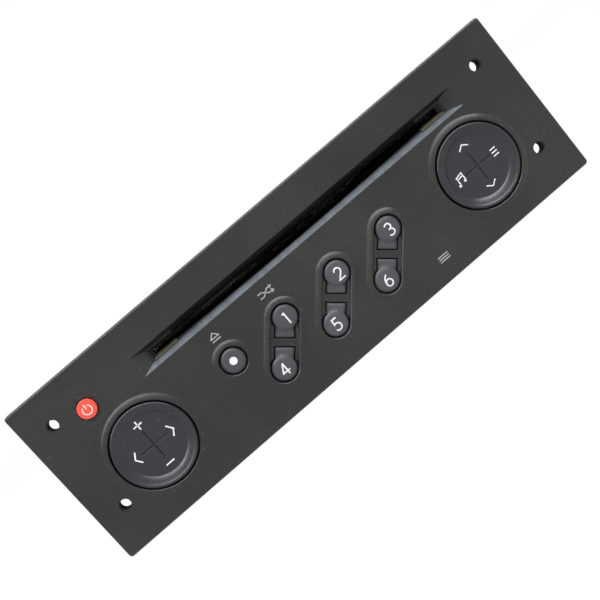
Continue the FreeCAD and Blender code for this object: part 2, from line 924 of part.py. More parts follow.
def preset_key(place, sign):
    tail = key_prism(place, sign, 0, (tail_front, key_back))
    tail = soften(tail, key_edge_radius, lambda e: lies_at_depth(e, tail_front))
    flange = key_prism(place, sign, key_gap + key_flange_margin,
                       (key_flange_front, key_flange_front + key_flange))
    plunger = pin_inward(place[0], place[1], plunger_radius, (key_flange_front, plunger_end))
    return join(tail, key_cap(place[0], place[1], key_radius, key_crown, key_back), flange, plunger)


def round_key(x, z, radius, gap, crown):
    flange = pin_inward(x, z, radius + gap + key_flange_margin,
                        (key_flange_front, key_flange_front + key_flange))
    plunger = pin_inward(x, z, plunger_radius, (key_flange_front, plunger_end))
    return join(key_cap(x, z, radius, crown, key_back), flange, plunger)


def pad_flange_radius():
    return pad_radius + pad_gap + pad_flange_margin


def pad(x):
    """A dished rocking pad with a flange inside the panel, four posts and two ears for its gimbal."""
    rim = pad_radius - pad_rim_width
    back = pad_back + pad_flange
    dish = turned_inward(
        x, pad_z, (0, pad_disc_depth), (pad_disc_radius, pad_disc_depth),
        ((pad_disc_radius * 0.45 + rim * 0.55, pad_disc_depth - 0.25 * (pad_disc_depth + pad_proud)),
         (rim, -pad_proud + 0.15)),
        ((rim + pad_rim_width * 0.4, -pad_proud), (pad_radius, -pad_proud + 0.5)),
        (pad_radius, pad_back), (pad_flange_radius(), pad_back), (pad_flange_radius(), back),
        (pad_radius - pad_wall, back),
        (pad_radius - pad_wall, pad_disc_depth + pad_disc_wall), (0, pad_disc_depth + pad_disc_wall))
    floor = pad_disc_depth + pad_disc_wall - 0.2
    diagonal = pad_post_place * math.sqrt(0.5)
    posts = [pin_inward(x + i * diagonal, pad_z + j * diagonal, pad_post_radius, (floor, pad_post_end))
             for i in (-1, 1) for j in (-1, 1)]
    ears = [block((x - ear_half_width, x + ear_half_width), (floor, gimbal_depth + ear_reach),
                  (pad_z + j * ear_start, pad_z + j * (ear_start + ear_wall))) for j in (-1, 1)]
    bore = Part.makeCylinder(trunnion_radius + trunnion_gap, 2 * (ear_start + ear_wall) + 2,
                             at(x, gimbal_depth, pad_z - ear_start - ear_wall - 1), up)
    long, half = pad_groove_reach, pad_groove_width / 2
    groove = (0, pad_disc_depth + pad_groove_depth)
    cross = [block((x - long, x + long), groove, (pad_z - half, pad_z + half)),
             block((x - half, x + half), groove, (pad_z - long, pad_z + long))]
    return join(dish, *posts, *ears).cut([bore] + cross)


def gimbal(x):
    """A ring with two trunnions across and two upright."""
    depths = (gimbal_depth - gimbal_half_depth, gimbal_depth + gimbal_half_depth)
    ring = pin_inward(x, pad_z, gimbal_outer, depths).cut(pin_inward(x, pad_z, gimbal_inner, depths))
    middle = (gimbal_inner + gimbal_outer) / 2
    sides = [pin_across(gimbal_depth, pad_z, trunnion_radius, (x + i * middle, x + i * trunnion_end))
             for i in (-1, 1)]
    uprights = [Part.makeCylinder(trunnion_radius, trunnion_end - middle,
                                  at(x, gimbal_depth, pad_z + i * middle), up * i) for i in (-1, 1)]
    return join(ring, *sides, *uprights)


def pad_mount(x):
    """A base on the front board with two ears that hold a gimbal's side trunnions."""
    base = pin_inward(x, pad_z, mount_radius, (board_front - mount_wall, board_front))
    base = base.cut(pin_inward(x, pad_z, mount_hole_radius, (0, board_front)))
    ears = [block((x + i * ear_start, x + i * (ear_start + ear_wall)),
                  (gimbal_depth - ear_reach, board_front - mount_wall / 2),
                  (pad_z - ear_half_width, pad_z + ear_half_width)) for i in (-1, 1)]
    bore = pin_across(gimbal_depth, pad_z, trunnion_radius + trunnion_gap,
                      (x - ear_start - ear_wall - 1, x + ear_start + ear_wall + 1))
    return join(base, *ears).cut(bore)


def board_outline(depths, margin):
    """The front board's outline, with its column behind the power key."""
    edge = case_inner - case_gap - rim_wall - board_edge_gap - margin
    low = case_bottom + case_wall + case_gap + rim_wall + board_edge_gap + margin
    high = case_top - case_wall - case_gap - rim_wall - board_edge_gap - margin
    column, top = board_column_x() - margin, board_top - margin
    return plate_inward(depths, (-edge, low), (edge, low), (edge, top), (column, top), (column, high),
                        (-edge, high))


def keymat():
    """The silicone mat: a web with a dome under every key and four under each pad."""
    web = board_outline((mat_front, board_front), 1.0)
    spots = [place for place, _ in key_places()] + [(eject_x, eject_z), (power_x, power_z)]
    diagonal = pad_post_place * math.sqrt(0.5)
    domes = [(x, z, plunger_end + mat_gap, dome_top_radius, dome_base_radius) for x, z in spots]
    domes += [(sx * pad_x + i * diagonal, pad_z + j * diagonal, pad_post_end + mat_gap, pad_dome_top_radius,
               pad_dome_base_radius) for sx in (-1, 1) for i in (-1, 1) for j in (-1, 1)]
    cones = [Part.makeCone(top, base, mat_front - front + mat_wall / 2, at(x, front, z), inward)
             for x, z, front, top, base in domes]
    holes = [pin_inward(x, z, boss_radius + boss_gap, (0, board_back)) for x, z in boss_places()]
    holes += [pin_inward(sx * pad_x, pad_z, mount_radius + 0.3, (0, board_back)) for sx in (-1, 1)]
    return web.fuse(cones).cut(holes).removeSplitter()


def front_board():
    board = board_outline((board_front, board_back), 0)
    return board.cut([screw_hole(at(x, board_front - 1, z), inward, board_wall + 2)
                      for x, z in boss_places()])


# Case

def latch_window(side, z):
    """Room in the case's side for a latch finger to swing into."""
    return block((side * (case_inner - 1), side * (case_width / 2 + 1)),
                 (latch_front - latch_window_margin, latch_web_front - 4),
                 (z - latch_half_height - latch_window_margin, z + latch_half_height + latch_window_margin))


def latch_ear_heights():
    low = prong_heights[0] - latch_half_height - 1.0
    high = prong_heights[1] + latch_half_height + 1.0
    return ((low - latch_ear_wall, low), (high, min(high + latch_ear_wall, case_top - case_wall)))


def latch_x():
    return case_width / 2 + latch_axis_out


def cover_screw_places():
    """Screws through the case's sides into the cover's flanges, as (side, depth, z)."""
    return [(side, depth, case_top - lid_screw_drop) for side in (-1, 1) for depth in lid_screw_depths]


def pillar_places():
    x = case_inner - main_board_gap - pillar_radius - 1.0
    depths = (main_board_front + pillar_front_gap, case_rear - pillar_rear_gap)
    return [(i * x, depth) for i in (-1, 0.3, 1) for depth in depths]


def foot_xs():
    """Where the mechanism's feet are screwed down, left and right."""
    return (-case_inner + tab_reach / 2 - 0.4, case_inner - tab_reach / 2 + 0.4)


def chassis():
    """The folded steel tray, open above and in front."""
    half = case_width / 2
    tray = block((-half, half), (case_front, case_rear), (case_bottom, case_top - case_wall))
    tray = soften(tray, 1.0, lambda e: e.BoundBox.XLength < 1e-4 and e.BoundBox.ZLength < 1e-4
                  and e.BoundBox.ZMax < case_bottom + 1)
    tray = tray.cut(block((-case_inner, case_inner), (case_front - 1, case_rear - case_wall),
                          (case_bottom + case_wall, case_top)))
    ears = []
    for side in (-1, 1):
        out = side * (latch_x() + latch_knuckle_radius + 0.6)
        for low, high in latch_ear_heights():
            ears.append(block((side * case_inner, out), (latch_axis_depth - latch_ear_reach,
                                                         latch_axis_depth + latch_ear_reach), (low, high)))
    pillars = [pin_up(x, depth, pillar_radius, (case_bottom, main_board_z)) for x, depth in pillar_places()]
    tabs = [block((side * case_inner + side * 0.2, side * (case_inner - tab_reach)),
                  (depth - foot_half_length, depth + foot_half_length),
                  (mech_bottom - case_wall, mech_bottom)) for side in (-1, 1) for depth in foot_places]
    tray = tray.fuse(ears + pillars + tabs)
    return tray.cut(chassis_openings()).removeSplitter()


def chassis_openings():
    cutters = [latch_window(side, z) for side in (-1, 1) for z in prong_heights]
    for side in (-1, 1):
        for low, high in latch_ear_heights():
            cutters.append(pin_up(side * latch_x(), latch_axis_depth, latch_pin_radius, (low - 1, high + 1)))
    # Windows in the sides where the feet's tabs were bent in
    cutters += [block((side * (case_inner - 0.1), side * (case_width / 2 + 1)),
                      (depth - foot_half_length + 1, depth + foot_half_length - 1),
                      (mech_bottom - case_wall - 4.4, mech_bottom - case_wall - 0.4))
                for side in (-1, 1) for depth in foot_places]
    wall = (case_rear - case_wall - 1, case_rear + 1)
    edge, low = sink_x - sink_width / 2 - rear_vent_gap, case_bottom + vent_rise
    heights = (low, low + vent_length)
    cutters += vents((edge - vent_width, edge), wall, heights, rear_vent_pitch, 2, across * -1)
    for side in (-1, 1):
        cutters += vents((side * (case_inner - 1), side * (case_width / 2 + 1)),
                         (side_vent_front, side_vent_front + vent_width), heights, side_vent_pitch, 6, inward)
    for depth in floor_vent_depths:
        cutters += vents((vent_start, vent_start + long_vent), (depth, depth + vent_width),
                         (case_bottom - 1, case_bottom + 1), long_vent_pitch, 5, across)
    cutters.append(block((sink_x - chip_width / 2 - 2, sink_x + chip_width / 2 + 2), wall,
                         (main_board_z + 3, main_board_z + 5 + chip_height)))
    reach, rise = connector_width / 2 + cutout_gap, connector_height / 2 + cutout_gap
    cutters.append(block((connector_x - reach, connector_x + reach), wall,
                         (connector_z - rise, connector_z + rise)))
    cutters.append(pin_inward(socket_x, socket_z, socket_radius + socket_wall + cutout_gap, wall))
    cutters += [screw_hole(place - direction, direction, screw_length + 1)
                for place, direction in case_screw_list()]
    cutters += [screw_hole(at(x, depth, main_board_z), up * -1, 4.0) for x, depth in pillar_places()]
    cutters += [screw_hole(at(x, depth, mech_bottom + 1), up * -1)
                for x in foot_xs() for depth in foot_places]
    return cutters


def case_screw_list():
    """Every outside screw as (underside of its head, direction)."""
    screws = [(at(side * case_width / 2, depth, z), across * -side)
              for side, depth, z in cover_screw_places()]
    screws += [(at(sink_x + i * (sink_width / 2 - sink_screw_inset), case_rear + sink_base, z), inward * -1)
               for i in (-1, 1) for z in (sink_bottom + sink_screw_rise, sink_top - sink_screw_rise)]
    return screws


def top_cover():
    """The lid, with a flange down inside each wall, pressed beads and vents."""
    half = case_width / 2
    lid = block((-half, half), (case_front, case_rear), (case_top - case_wall, case_top))
    reach = case_top - case_wall - lid_flange_drop
    near = case_inner - case_gap / 2
    depths = (lid_flange_front, case_rear - lid_flange_rear_gap)
    flanges = [block((side * near, side * (near - case_wall)), depths, (reach, case_top - case_wall / 2))
               for side in (-1, 1)]
    bead, groove = half - bead_inset, half - bead_inset - 1
    beads = [block((-bead, bead), (depth, depth + bead_width),
                   (case_top - case_wall / 2, case_top + bead_height)) for depth in bead_depths]
    grooves = [block((-groove, groove), (depth + 1, depth + bead_width - 1),
                     (case_top - case_wall - 1, case_top - 0.1)) for depth in bead_depths]
    lid = lid.fuse(flanges + beads).cut(grooves)
    cutters = []
    for depth in lid_vent_depths:
        cutters += vents((vent_start, vent_start + long_vent), (depth, depth + vent_width),
                         (case_top - 2, case_top + 1), long_vent_pitch, 5, across)
    cutters += [screw_hole(place - direction, direction, screw_length + 1)
                for place, direction in case_screw_list()]
    return lid.cut(cutters).removeSplitter()


def side_latch(side):
    """A stamped plate that turns on an upright pin, with two fingers that the release prongs push in."""
    x = side * latch_x()
    gap = latch_pin_radius + latch_pin_gap
    ears = latch_ear_heights()
    low, high = ears[0][1] + 0.2, ears[1][0] - 0.2
    knuckle = pin_up(x, latch_axis_depth, latch_knuckle_radius, (low, high))
    inner = latch_x() - latch_wall / 2
    outer = inner + latch_wall
    web = block((side * inner, side * outer), (latch_web_front, latch_axis_depth), (low, high))
    fingers = []
    for z in prong_heights:
        face = outline(lambda out, depth: at(side * out, depth, z - latch_half_height),
                       (inner, latch_web_front + 1), (inner, latch_front + 3),
                       (inner - 0.9, latch_front), (inner - 0.2, latch_front), (outer, latch_front + 3),
                       (outer, latch_front + 7), (inner + latch_hump, latch_front + 14),
                       (inner + latch_hump, latch_front + 15), (outer, latch_front + 15.6),
                       (outer, latch_web_front + 1))
        fingers.append(face.extrude(up * (2 * latch_half_height)))
    return join(knuckle, web, *fingers).cut(pin_up(x, latch_axis_depth, gap, (low - 1, high + 1)))


def latch_pins():
    ears = latch_ear_heights()
    pins = []
    for side in (-1, 1):
        shank = pin_up(side * latch_x(), latch_axis_depth, latch_pin_radius, (ears[0][0], ears[1][1]))
        head = pin_up(side * latch_x(), latch_axis_depth, latch_pin_radius * 1.7,
                      (ears[0][0] - 0.6, ears[0][0]))
        pins.append(join(shank, head))
    return Part.makeCompound(pins)


def heat_sink():
    """Extruded aluminium with upright fins, bolted to the back of the case."""
    left, right = sink_x - sink_width / 2, sink_x + sink_width / 2
    base = block((left, right), (case_rear, case_rear + sink_base), (sink_bottom, sink_top))
    step = (sink_width - sink_fin_wall) / (sink_fins - 1)
    fins = []
    for i in range(sink_fins):
        x = left + step * i
        reach = sink_fin_depth if 1 < i < sink_fins - 2 else sink_fin_depth * 0.8
        fin = plate_up((sink_bottom, sink_top), (x, case_rear + sink_base / 2),
                       (x + sink_fin_wall, case_rear + sink_base / 2),
                       (x + sink_fin_wall * 0.8, case_rear + sink_base + reach),
                       (x + sink_fin_wall * 0.2, case_rear + sink_base + reach))
        fins.append(fin)
    foot = block((sink_x - chip_width / 2 - 1, sink_x + chip_width / 2 + 1), (case_rear - 2.5, case_rear + 1),
                 (main_board_z + 4, main_board_z + 4 + chip_height))
    body = base.fuse(fins + [foot])
    screws = case_screw_list()[len(cover_screw_places()):]
    holes = [screw_hole(place - direction, direction, screw_length + 1) for place, direction in screws]
    heads = [Part.makeCylinder(screw_head_radius + 0.5, sink_fin_depth + 1, place, direction * -1)
             for place, direction in screws]
    return body.cut(holes + heads).removeSplitter()


def rear_stud():
    collar = pin_inward(stud_x, stud_z, stud_collar_radius, (case_rear, case_rear + stud_collar))
    shank = pin_inward(stud_x, stud_z, stud_radius, (case_rear + stud_collar / 2, stud_rear))
    shank = soften(shank, 0.5, lambda e: lies_at_depth(e, stud_rear))
    return join(collar, shank)


def antenna_socket():
    """A round metal socket with a blind bore for the antenna plug."""
    back = case_rear + socket_proud
    outer = socket_radius + socket_wall
    shell = pin_inward(socket_x, socket_z, outer, (back - socket_depth, back))
    flange = block((socket_x - outer - 1, socket_x + outer + 1),
                   (case_rear - case_wall - 1.6, case_rear - case_wall - 0.1),
                   (main_board_z + board_wall, socket_z + outer + 1))
    bore = pin_inward(socket_x, socket_z, socket_radius, (back - socket_depth + socket_wall, back + 1))
    return join(shell, flange).cut(bore)


def connector_cavities():
    """The two cavities of the wiring socket, as (low z, high z)."""
    middle = connector_z
    height = (connector_height - 3 * connector_wall) / 2
    return ((middle - connector_wall / 2 - height, middle - connector_wall / 2),
            (middle + connector_wall / 2, middle + connector_wall / 2 + height))


def iso_connector():
    back = case_rear + connector_proud
    half = connector_width / 2
    body = block((connector_x - half, connector_x + half), (back - connector_depth, back),
                 (connector_z - connector_height / 2, connector_z + connector_height / 2))
    body = soften(body, 0.8, runs_inward)
    keyway = connector_x - half + 8.0
    cutters = []
    for low, high in connector_cavities():
        cutters.append(block((connector_x - half + connector_wall, connector_x + half - connector_wall),
                             (back - cavity_depth, back + 1), (low, high)))
        cutters.append(block((keyway, keyway + 4), (back - cavity_depth, back + 1), (low - 0.7, low + 1)))
    return body.cut(cutters + connector_blades(screw_gap)).removeSplitter()


def connector_blades(gap=0.0):
    """Two rows of four flat contacts in each cavity."""
    back = case_rear + connector_proud
    floor = back - cavity_depth
    blades = []
    for low, high in connector_cavities():
        for row in (0.27, 0.73):
            z = low + (high - low) * row
            for i in range(4):
                x = connector_x + blade_pitch * 1.7 * (i - 1.5)
                blades.append(block((x - blade_width / 2 - gap, x + blade_width / 2 + gap),
                                    (floor - 2, floor + blade_length),
                                    (z - blade_wall / 2 - gap, z + blade_wall / 2 + gap)))
    return blades


# Electronics

def main_board():
    edge = case_inner - main_board_gap
    rear = case_rear - case_wall - 2.5
    board = block((-edge, edge), (main_board_front, rear), (main_board_z, main_board_z + board_wall))
    corners = soften(board, 3.0, lambda e: e.BoundBox.XLength < 1e-4 and e.BoundBox.YLength < 1e-4)
    return corners.cut([screw_hole(at(x, depth, main_board_z - 1), up, board_wall + 2)
                        for x, depth in pillar_places()])


def board_components():
    """Capacitors, square chips and a wound coil on the main board."""
    top = main_board_z + board_wall
    made = []
    for i in range(3):
        x = sink_x - chip_width / 2 - capacitor_pitch * (i + 1)
        can = pin_up(x, case_rear - capacitor_rear_gap, capacitor_radius, (top, top + capacitor_height))
        made.append(soften(can, 0.8, lambda e: abs(e.CenterOfMass.z - top - capacitor_height) < 1e-3))
    for (x, depth), size in ((processor_place, processor_width), (driver_place, driver_width),
                             (memory_place, memory_width)):
        made.append(block((x - size / 2, x + size / 2), (depth - size / 2, depth + size / 2),
                          (top + solder_gap, top + solder_gap + small_chip_height)))
    x, depth = sink_x + coil_out, case_rear - coil_rear_gap
    ring = turned_up(x, depth, (coil_inner, top + 0.3), (coil_outer, top + 0.3),
                     ((coil_outer + 1.2, top + coil_height / 2), (coil_outer, top + coil_height)),
                     (coil_inner, top + coil_height), ((coil_inner - 0.8, top + coil_height / 2),
                                                       (coil_inner, top + 0.3)))
    made.append(ring)
    return Part.makeCompound(made)


def amplifier_chip():
    """A flat power chip with a row of leads down to the board, clamped on the heat sink's foot."""
    back = case_rear - 2.5
    low = main_board_z + board_wall + 3.5
    body = block((sink_x - chip_width / 2, sink_x + chip_width / 2), (back - chip_wall, back),
                 (low, low + chip_height - 3))
    half = chip_lead_width / 2
    leads = [block((sink_x + chip_lead_pitch * i - half, sink_x + chip_lead_pitch * i + half),
                   (back - chip_wall + 1, back - chip_wall + 1.6), (main_board_z + board_wall, low + 0.5))
             for i in range(-7, 8)]
    return join(body, *leads)


def tuner_module():
    top = main_board_z + board_wall
    x, depth = socket_x + 8.0, case_rear - 18 - tuner_depth
    can = block((x - tuner_width / 2, x + tuner_width / 2), (depth, depth + tuner_depth),
                (top, top + tuner_height))
    return soften(can, 1.2, lambda e: e.BoundBox.ZLength < 1e-4 and e.CenterOfMass.z > top + 1)


def ribbon_cable():
    """A flat cable from the back of the front board down to the main board."""
    top = main_board_z + board_wall
    start_z = top + 2 * ribbon_bend + 2.0
    bend, thick = ribbon_bend, ribbon_wall
    first = board_back + 2.0
    half = math.sqrt(0.5)
    outer, inner = bend, bend - thick
    # Straight back from the front board, down, then back along the main board
    face = outline(lambda depth, z: at(-ribbon_width / 2, depth, z),
                   (board_back, start_z), (first, start_z),
                   ((first + outer * half, start_z - outer * (1 - half)), (first + outer, start_z - outer)),
                   (first + outer, top + inner + thick),
                   ((first + outer + inner * (1 - half), top + thick + inner * (1 - half)),
                    (first + outer + inner, top + thick)),
                   (main_board_front + 8, top + thick), (main_board_front + 8, top),
                   (first + outer + inner, top),
                   ((first + outer - thick + outer * (1 - half), top + outer * (1 - half)),
                    (first + outer - thick, top + outer)),
                   (first + outer - thick, start_z - outer),
                   ((first + inner * half, start_z - thick - inner * (1 - half)), (first, start_z - thick)),
                   (board_back, start_z - thick))
    return face.extrude(across * ribbon_width)


def inner_screws():
    screws = [pan_screw(at(x, board_back, z), inward * -1, screw_length - 0.6) for x, z in boss_places()]
    screws += [pan_screw(at(x, depth, main_board_z + board_wall), up * -1, screw_length)
               for x, depth in pillar_places()]
    screws += [pan_screw(at(x, depth, mech_bottom + mech_wall), up * -1, screw_length - 1)
               for x in foot_xs() for depth in foot_places]
    return Part.makeCompound(screws)


# Loading drive: places and gear phases, in the plane of depth and height

bracket_pivot = (bracket_pivot_depth, bracket_pivot_z)
roller_axis = (roller_depth, roller_z)
gear_face_x = slot_x - mech_half_width


def rise_line():
    """The direction in which the roller's gear leaves its partner, turned back towards it."""
    d, z = roller_axis[0] - bracket_pivot[0], roller_axis[1] - bracket_pivot[1]
    length = math.hypot(d, z)
    return math.atan2(-d / length, z / length)


def stepped(place, distance, angle):
    return (place[0] + distance * math.cos(angle), place[1] + distance * math.sin(angle))


second_axis = stepped(roller_axis, gear_distance(roller_teeth, second_small_teeth), rise_line())
first_axis = stepped(second_axis, gear_distance(second_big_teeth, first_small_teeth), first_gear_angle)
motor_axis = stepped(first_axis, gear_distance(first_big_teeth, pinion_teeth), motor_angle)
roller_phase = rise_line()
second_small_phase = meshing_phase(roller_phase, roller_teeth, rise_line(), second_small_teeth)
first_small_phase = meshing_phase(0.0, second_big_teeth, first_gear_angle, first_small_teeth)
loading_pinion_phase = meshing_phase(0.0, first_big_teeth, motor_angle, pinion_teeth)


def layer(number):
    """The limits across of one layer of gears on the left of the frame."""
    near = gear_face_x - gear_layer_gap - (gear_layer + gear_layer_gap) * number
    return (near - gear_layer, near)


def gear_across(xs, axis, teeth, phase):
    return gear(at(min(xs), axis[0], axis[1]), inward, up, abs(xs[1] - xs[0]), teeth, phase)


def compound_gear(axis, layers, small, small_phase, big):
    """A small gear and a big gear on one hub, with a running bore."""
    small_xs, big_xs = layer(layers[0]), layer(layers[1])
    hub_radius = pitch_radius(small) - gear_module * gear_dedendum
    hub = pin_across(axis[0], axis[1], hub_radius, (small_xs[1], big_xs[0]))
    body = join(hub, gear_across(small_xs, axis, small, small_phase), gear_across(big_xs, axis, big, 0.0))
    bore = pin_across(axis[0], axis[1], stud_pin_radius + running_gap, (small_xs[1] + 1, big_xs[0] - 1))
    return body.cut(bore)


def loading_pinion():
    xs = layer(2)
    shaft = pin_across(motor_axis[0], motor_axis[1], stud_pin_radius, (xs[0] - motor_length / 2, xs[1]))
    return join(gear_across(xs, motor_axis, pinion_teeth, loading_pinion_phase), shaft)


def bracket_plate_xs():
    outer = layer(2)[0] - gear_layer_gap
    return (outer - case_wall, outer)


def gear_bracket():
    """The outer plate of the loading drive, with riveted studs and two feet to the frame."""
    xs = bracket_plate_xs()
    reach = (xs[0], gear_face_x)
    plate = join(capsule_across(xs, second_axis, first_axis, 4.5),
                 capsule_across(xs, first_axis, motor_axis, 6.5))
    front, rear = roller_depth - gear_bracket_ahead, motor_axis[0] + motor_width / 2 + 2.0
    low, lip = mech_bottom + mech_wall, mech_bottom + gear_bracket_lip
    plate = plate.fuse([block(xs, (first_axis[0], rear + case_wall), (low, motor_axis[1])),
                        block(xs, (front, first_axis[0]), (low, lip)),
                        block(reach, (rear, rear + case_wall), (low, motor_axis[1])),
                        block(reach, (front, front + case_wall), (low, lip))])
    studs = [pin_across(axis[0], axis[1], stud_pin_radius, (xs[0] + case_wall / 2, gear_face_x))
             for axis in (second_axis, first_axis)]
    hole = pin_across(motor_axis[0], motor_axis[1], stud_pin_radius + 1.5, (xs[0] - 1, xs[1] + 1))
    return plate.fuse(studs).cut(hole).removeSplitter()


def loading_motor():
    """A flat-sided motor can behind the gear bracket, with a bore for its turning shaft."""
    outer = bracket_plate_xs()[0]
    xs = (outer - motor_length, outer)
    d, z = motor_axis
    a, b = motor_width / 2, motor_height / 2
    can = plate_across(xs, (d - a + 2, z - b), (d + a - 2, z - b), ((d + a, z), (d + a - 2, z + b)),
                       (d - a + 2, z + b), ((d - a, z), (d - a + 2, z - b)))
    nose = pin_across(d, z, stud_pin_radius + 1.2, (outer, outer + case_wall))
    bore = pin_across(d, z, stud_pin_radius + running_gap, (outer - motor_length / 2 - 1, outer + 2))
    return join(can, nose).cut(bore)


def roller_shaft():
    """The roller's steel shaft, with its gear pressed on the left end."""
    xs = layer(0)
    end = slot_x + bracket_arm + bracket_wall + 1.2
    shaft = pin_across(roller_axis[0], roller_axis[1], roller_shaft_radius, (xs[0], end))
    return join(gear_across(xs, roller_axis, roller_teeth, roller_phase), shaft)


def loading_roller():
    """The rubber sleeve, thinner in the middle so that only the disc's rim is touched."""
    a = roller_half_length
    return turned_across(roller_axis[0], roller_axis[1], (slot_x - a, roller_shaft_radius),
                         (slot_x - a, roller_radius), ((slot_x, roller_waist), (slot_x + a, roller_radius)),
                         (slot_x + a, roller_shaft_radius))


def roller_bracket():
    """Two arms from the pivot to the roller, joined by a plate, with the cam pin on the right arm."""
    depths = (bracket_plate_front, bracket_plate_rear)
    low = roller_z - bracket_plate_drop
    arms = []
    for side in (-1, 1):
        xs = (slot_x + side * bracket_arm, slot_x + side * (bracket_arm + bracket_wall))
        arm = join(capsule_across(xs, bracket_pivot, roller_axis, bracket_arm_half_width),
                   block(xs, depths, (low, bracket_pivot_z)))
        holes = [pin_across(*bracket_pivot, slide_stud_radius + running_gap, (xs[0] - 5, xs[1] + 5)),
                 pin_across(*roller_axis, roller_shaft_radius + running_gap, (xs[0] - 5, xs[1] + 5))]
        arms.append(arm.cut(holes))
    plate = block((slot_x - bracket_arm, slot_x + bracket_arm), depths, (low, low + bracket_plate_wall))
    pin = pin_across(bracket_pin_depth, bracket_pin_z, cam_pin_radius,
                     (slot_x + bracket_arm + bracket_wall / 2, slide_xs()[1]))
    return join(plate, *arms, pin)


# Disc mechanism

def slide_xs():
    near = slot_x + mech_half_width + slide_gap
    return (near, near + slide_wall)


def bracket_pin_path(count=6):
    """Places of the bracket's cam pin as the bracket drops."""
    return [swung((bracket_pin_depth, bracket_pin_z), bracket_pivot, bracket_drop * i / count)
            for i in range(count + 1)]


clamp_pivot = (clamp_pivot_depth, clamp_pivot_z)


def clamp_pin_path(count=6):
    """Places of the clamp arm's cam pin from open to closed."""
    return [swung((clamp_pin_depth, clamp_pin_z), clamp_pivot, -clamp_open * (1 - i / count))
            for i in range(count + 1)]


def roller_path(count=4):
    return [swung(roller_axis, bracket_pivot, bracket_drop * i / count) for i in range(count + 1)]


def mech_frame():
    """The folded outer frame: floor, two sides, front wall with the disc's mouth, and feet."""
    left, right = slot_x - mech_half_width, slot_x + mech_half_width
    floor_top = mech_bottom + mech_wall
    floor = block((left, right), (mech_front, mech_rear), (mech_bottom, floor_top))
    walls = [block((left, left + mech_wall), (mech_front, mech_rear), (mech_bottom, mech_top)),
             block((right - mech_wall, right), (mech_front, mech_rear), (mech_bottom, mech_top)),
             block((left, right), (mech_front, mech_front + mech_wall), (mech_bottom, mech_top)),
             block((left, right), (mech_rear - mech_wall, mech_rear),
                   (mech_bottom, mech_bottom + mech_rear_height))]
    feet = []
    for side, edge in ((-1, left), (1, right)):
        for depth in foot_places:
            feet.append(block((edge, side * (case_inner - mech_foot_gap)),
                              (depth - foot_half_length, depth + foot_half_length), (mech_bottom, floor_top)))
    feet.append(block((left - outrigger_width, left), (mech_front, outrigger_rear), (mech_bottom, floor_top)))
    stud = (right - mech_wall / 2, slide_xs()[1] + 0.6)
    studs = [pin_across(depth, slide_stud_z(), slide_stud_radius, stud) for depth in slide_stud_places]
    near, far = bracket_arm - 0.6, mech_inner + mech_wall / 2
    pivots = [pin_across(*bracket_pivot, slide_stud_radius, (slot_x + side * near, slot_x + side * far))
              for side in (-1, 1)]
    frame = floor.fuse(walls + feet + studs + pivots)
    return frame.cut(mech_frame_openings()).removeSplitter()


def slide_stud_z():
    return (slide_bottom + slide_top) / 2 + 0.8


def mech_frame_openings():
    left, right = slot_x - mech_half_width, slot_x + mech_half_width
    reach = roller_half_length
    cutters = [block((slot_x - reach, slot_x + reach), (mech_front - 1, mech_front + mech_wall + 1),
                     (slot_z - mech_mouth / 2, slot_z + mech_mouth / 2)),
               block((slot_x - mech_window_half_width, slot_x + mech_window_half_width),
                     (spindle_depth - mech_window_ahead, spindle_depth + mech_window_behind),
                     (mech_bottom - 1, mech_bottom + mech_wall + 1))]
    # The roller's shaft, its gear and the two cam pins move through the sides
    left_wall, right_wall = (left - 1, left + mech_wall + 1), (right - mech_wall - 1, right + 1)
    cutters.append(slot_across(left_wall, roller_path(), roller_shaft_radius + 0.6))
    cutters.append(slot_across(right_wall, roller_path(), roller_shaft_radius + 0.6))
    cutters.append(slot_across(right_wall, bracket_pin_path(), cam_pin_radius + 0.5))
    cutters.append(slot_across(right_wall, clamp_pin_path(), cam_pin_radius + 0.5))
    cutters.append(pin_across(mode_motor_depth, mode_motor_z, stud_pin_radius + 0.5, right_wall))
    for side in (-1, 1):
        wall = (slot_x + side * (mech_inner - 1), slot_x + side * (mech_half_width + 1))
        for depth in guide_lug_depths:
            cutters.append(guide_lug(wall, depth, 0.1))
    cutters += [screw_hole(at(x, depth, mech_bottom + 2), up * -1)
                for x in foot_xs() for depth in foot_places]
    return cutters


def guide_lug(xs, depth, gap=0.0):
    """A lug of the disc guide, or with a gap the window that it sits in."""
    low = slot_z + guide_lug_above_slot
    return block(xs, (depth - guide_lug_half_length - gap, depth + guide_lug_half_length + gap),
                 (low - gap, low + guide_lug_wall + gap))


def disc_guide():
    """The arched upper guide: its lower face clears the middle of the disc and meets its rim."""
    a, end, middle = mech_inner - 0.2, slot_z + disc_thickness / 2 + 0.3, slot_z + disc_thickness / 2 + 1.6
    front = mech_front + mech_wall + 0.6
    low, high = slot_z + guide_above_slot, slot_z + guide_above_slot + guide_edge_height
    arch = plate_inward((front, guide_rear), (slot_x - a, end), ((slot_x, middle), (slot_x + a, end)),
                        (slot_x + a, high), (slot_x + a - 2.0, high), (slot_x + a - 2.0, low),
                        (slot_x - a + 2.0, low), (slot_x - a + 2.0, high), (slot_x - a, high))
    ribs = [block((slot_x - a + 1, slot_x + a - 1), (depth, depth + guide_rib_wall), (low - 0.5, high))
            for depth in guide_rib_depths]
    lugs = [guide_lug((slot_x + side * (a - 1), slot_x + side * (mech_half_width - 0.3)), depth)
            for side in (-1, 1) for depth in guide_lug_depths]
    lead = plate_across((slot_x - a - 1, slot_x + a + 1), (front - 0.1, end - 1), (front + 4, end - 1),
                        (front + 4, end), (front - 0.1, end + 1.2))
    return join(arch, *ribs, *lugs).cut(lead)


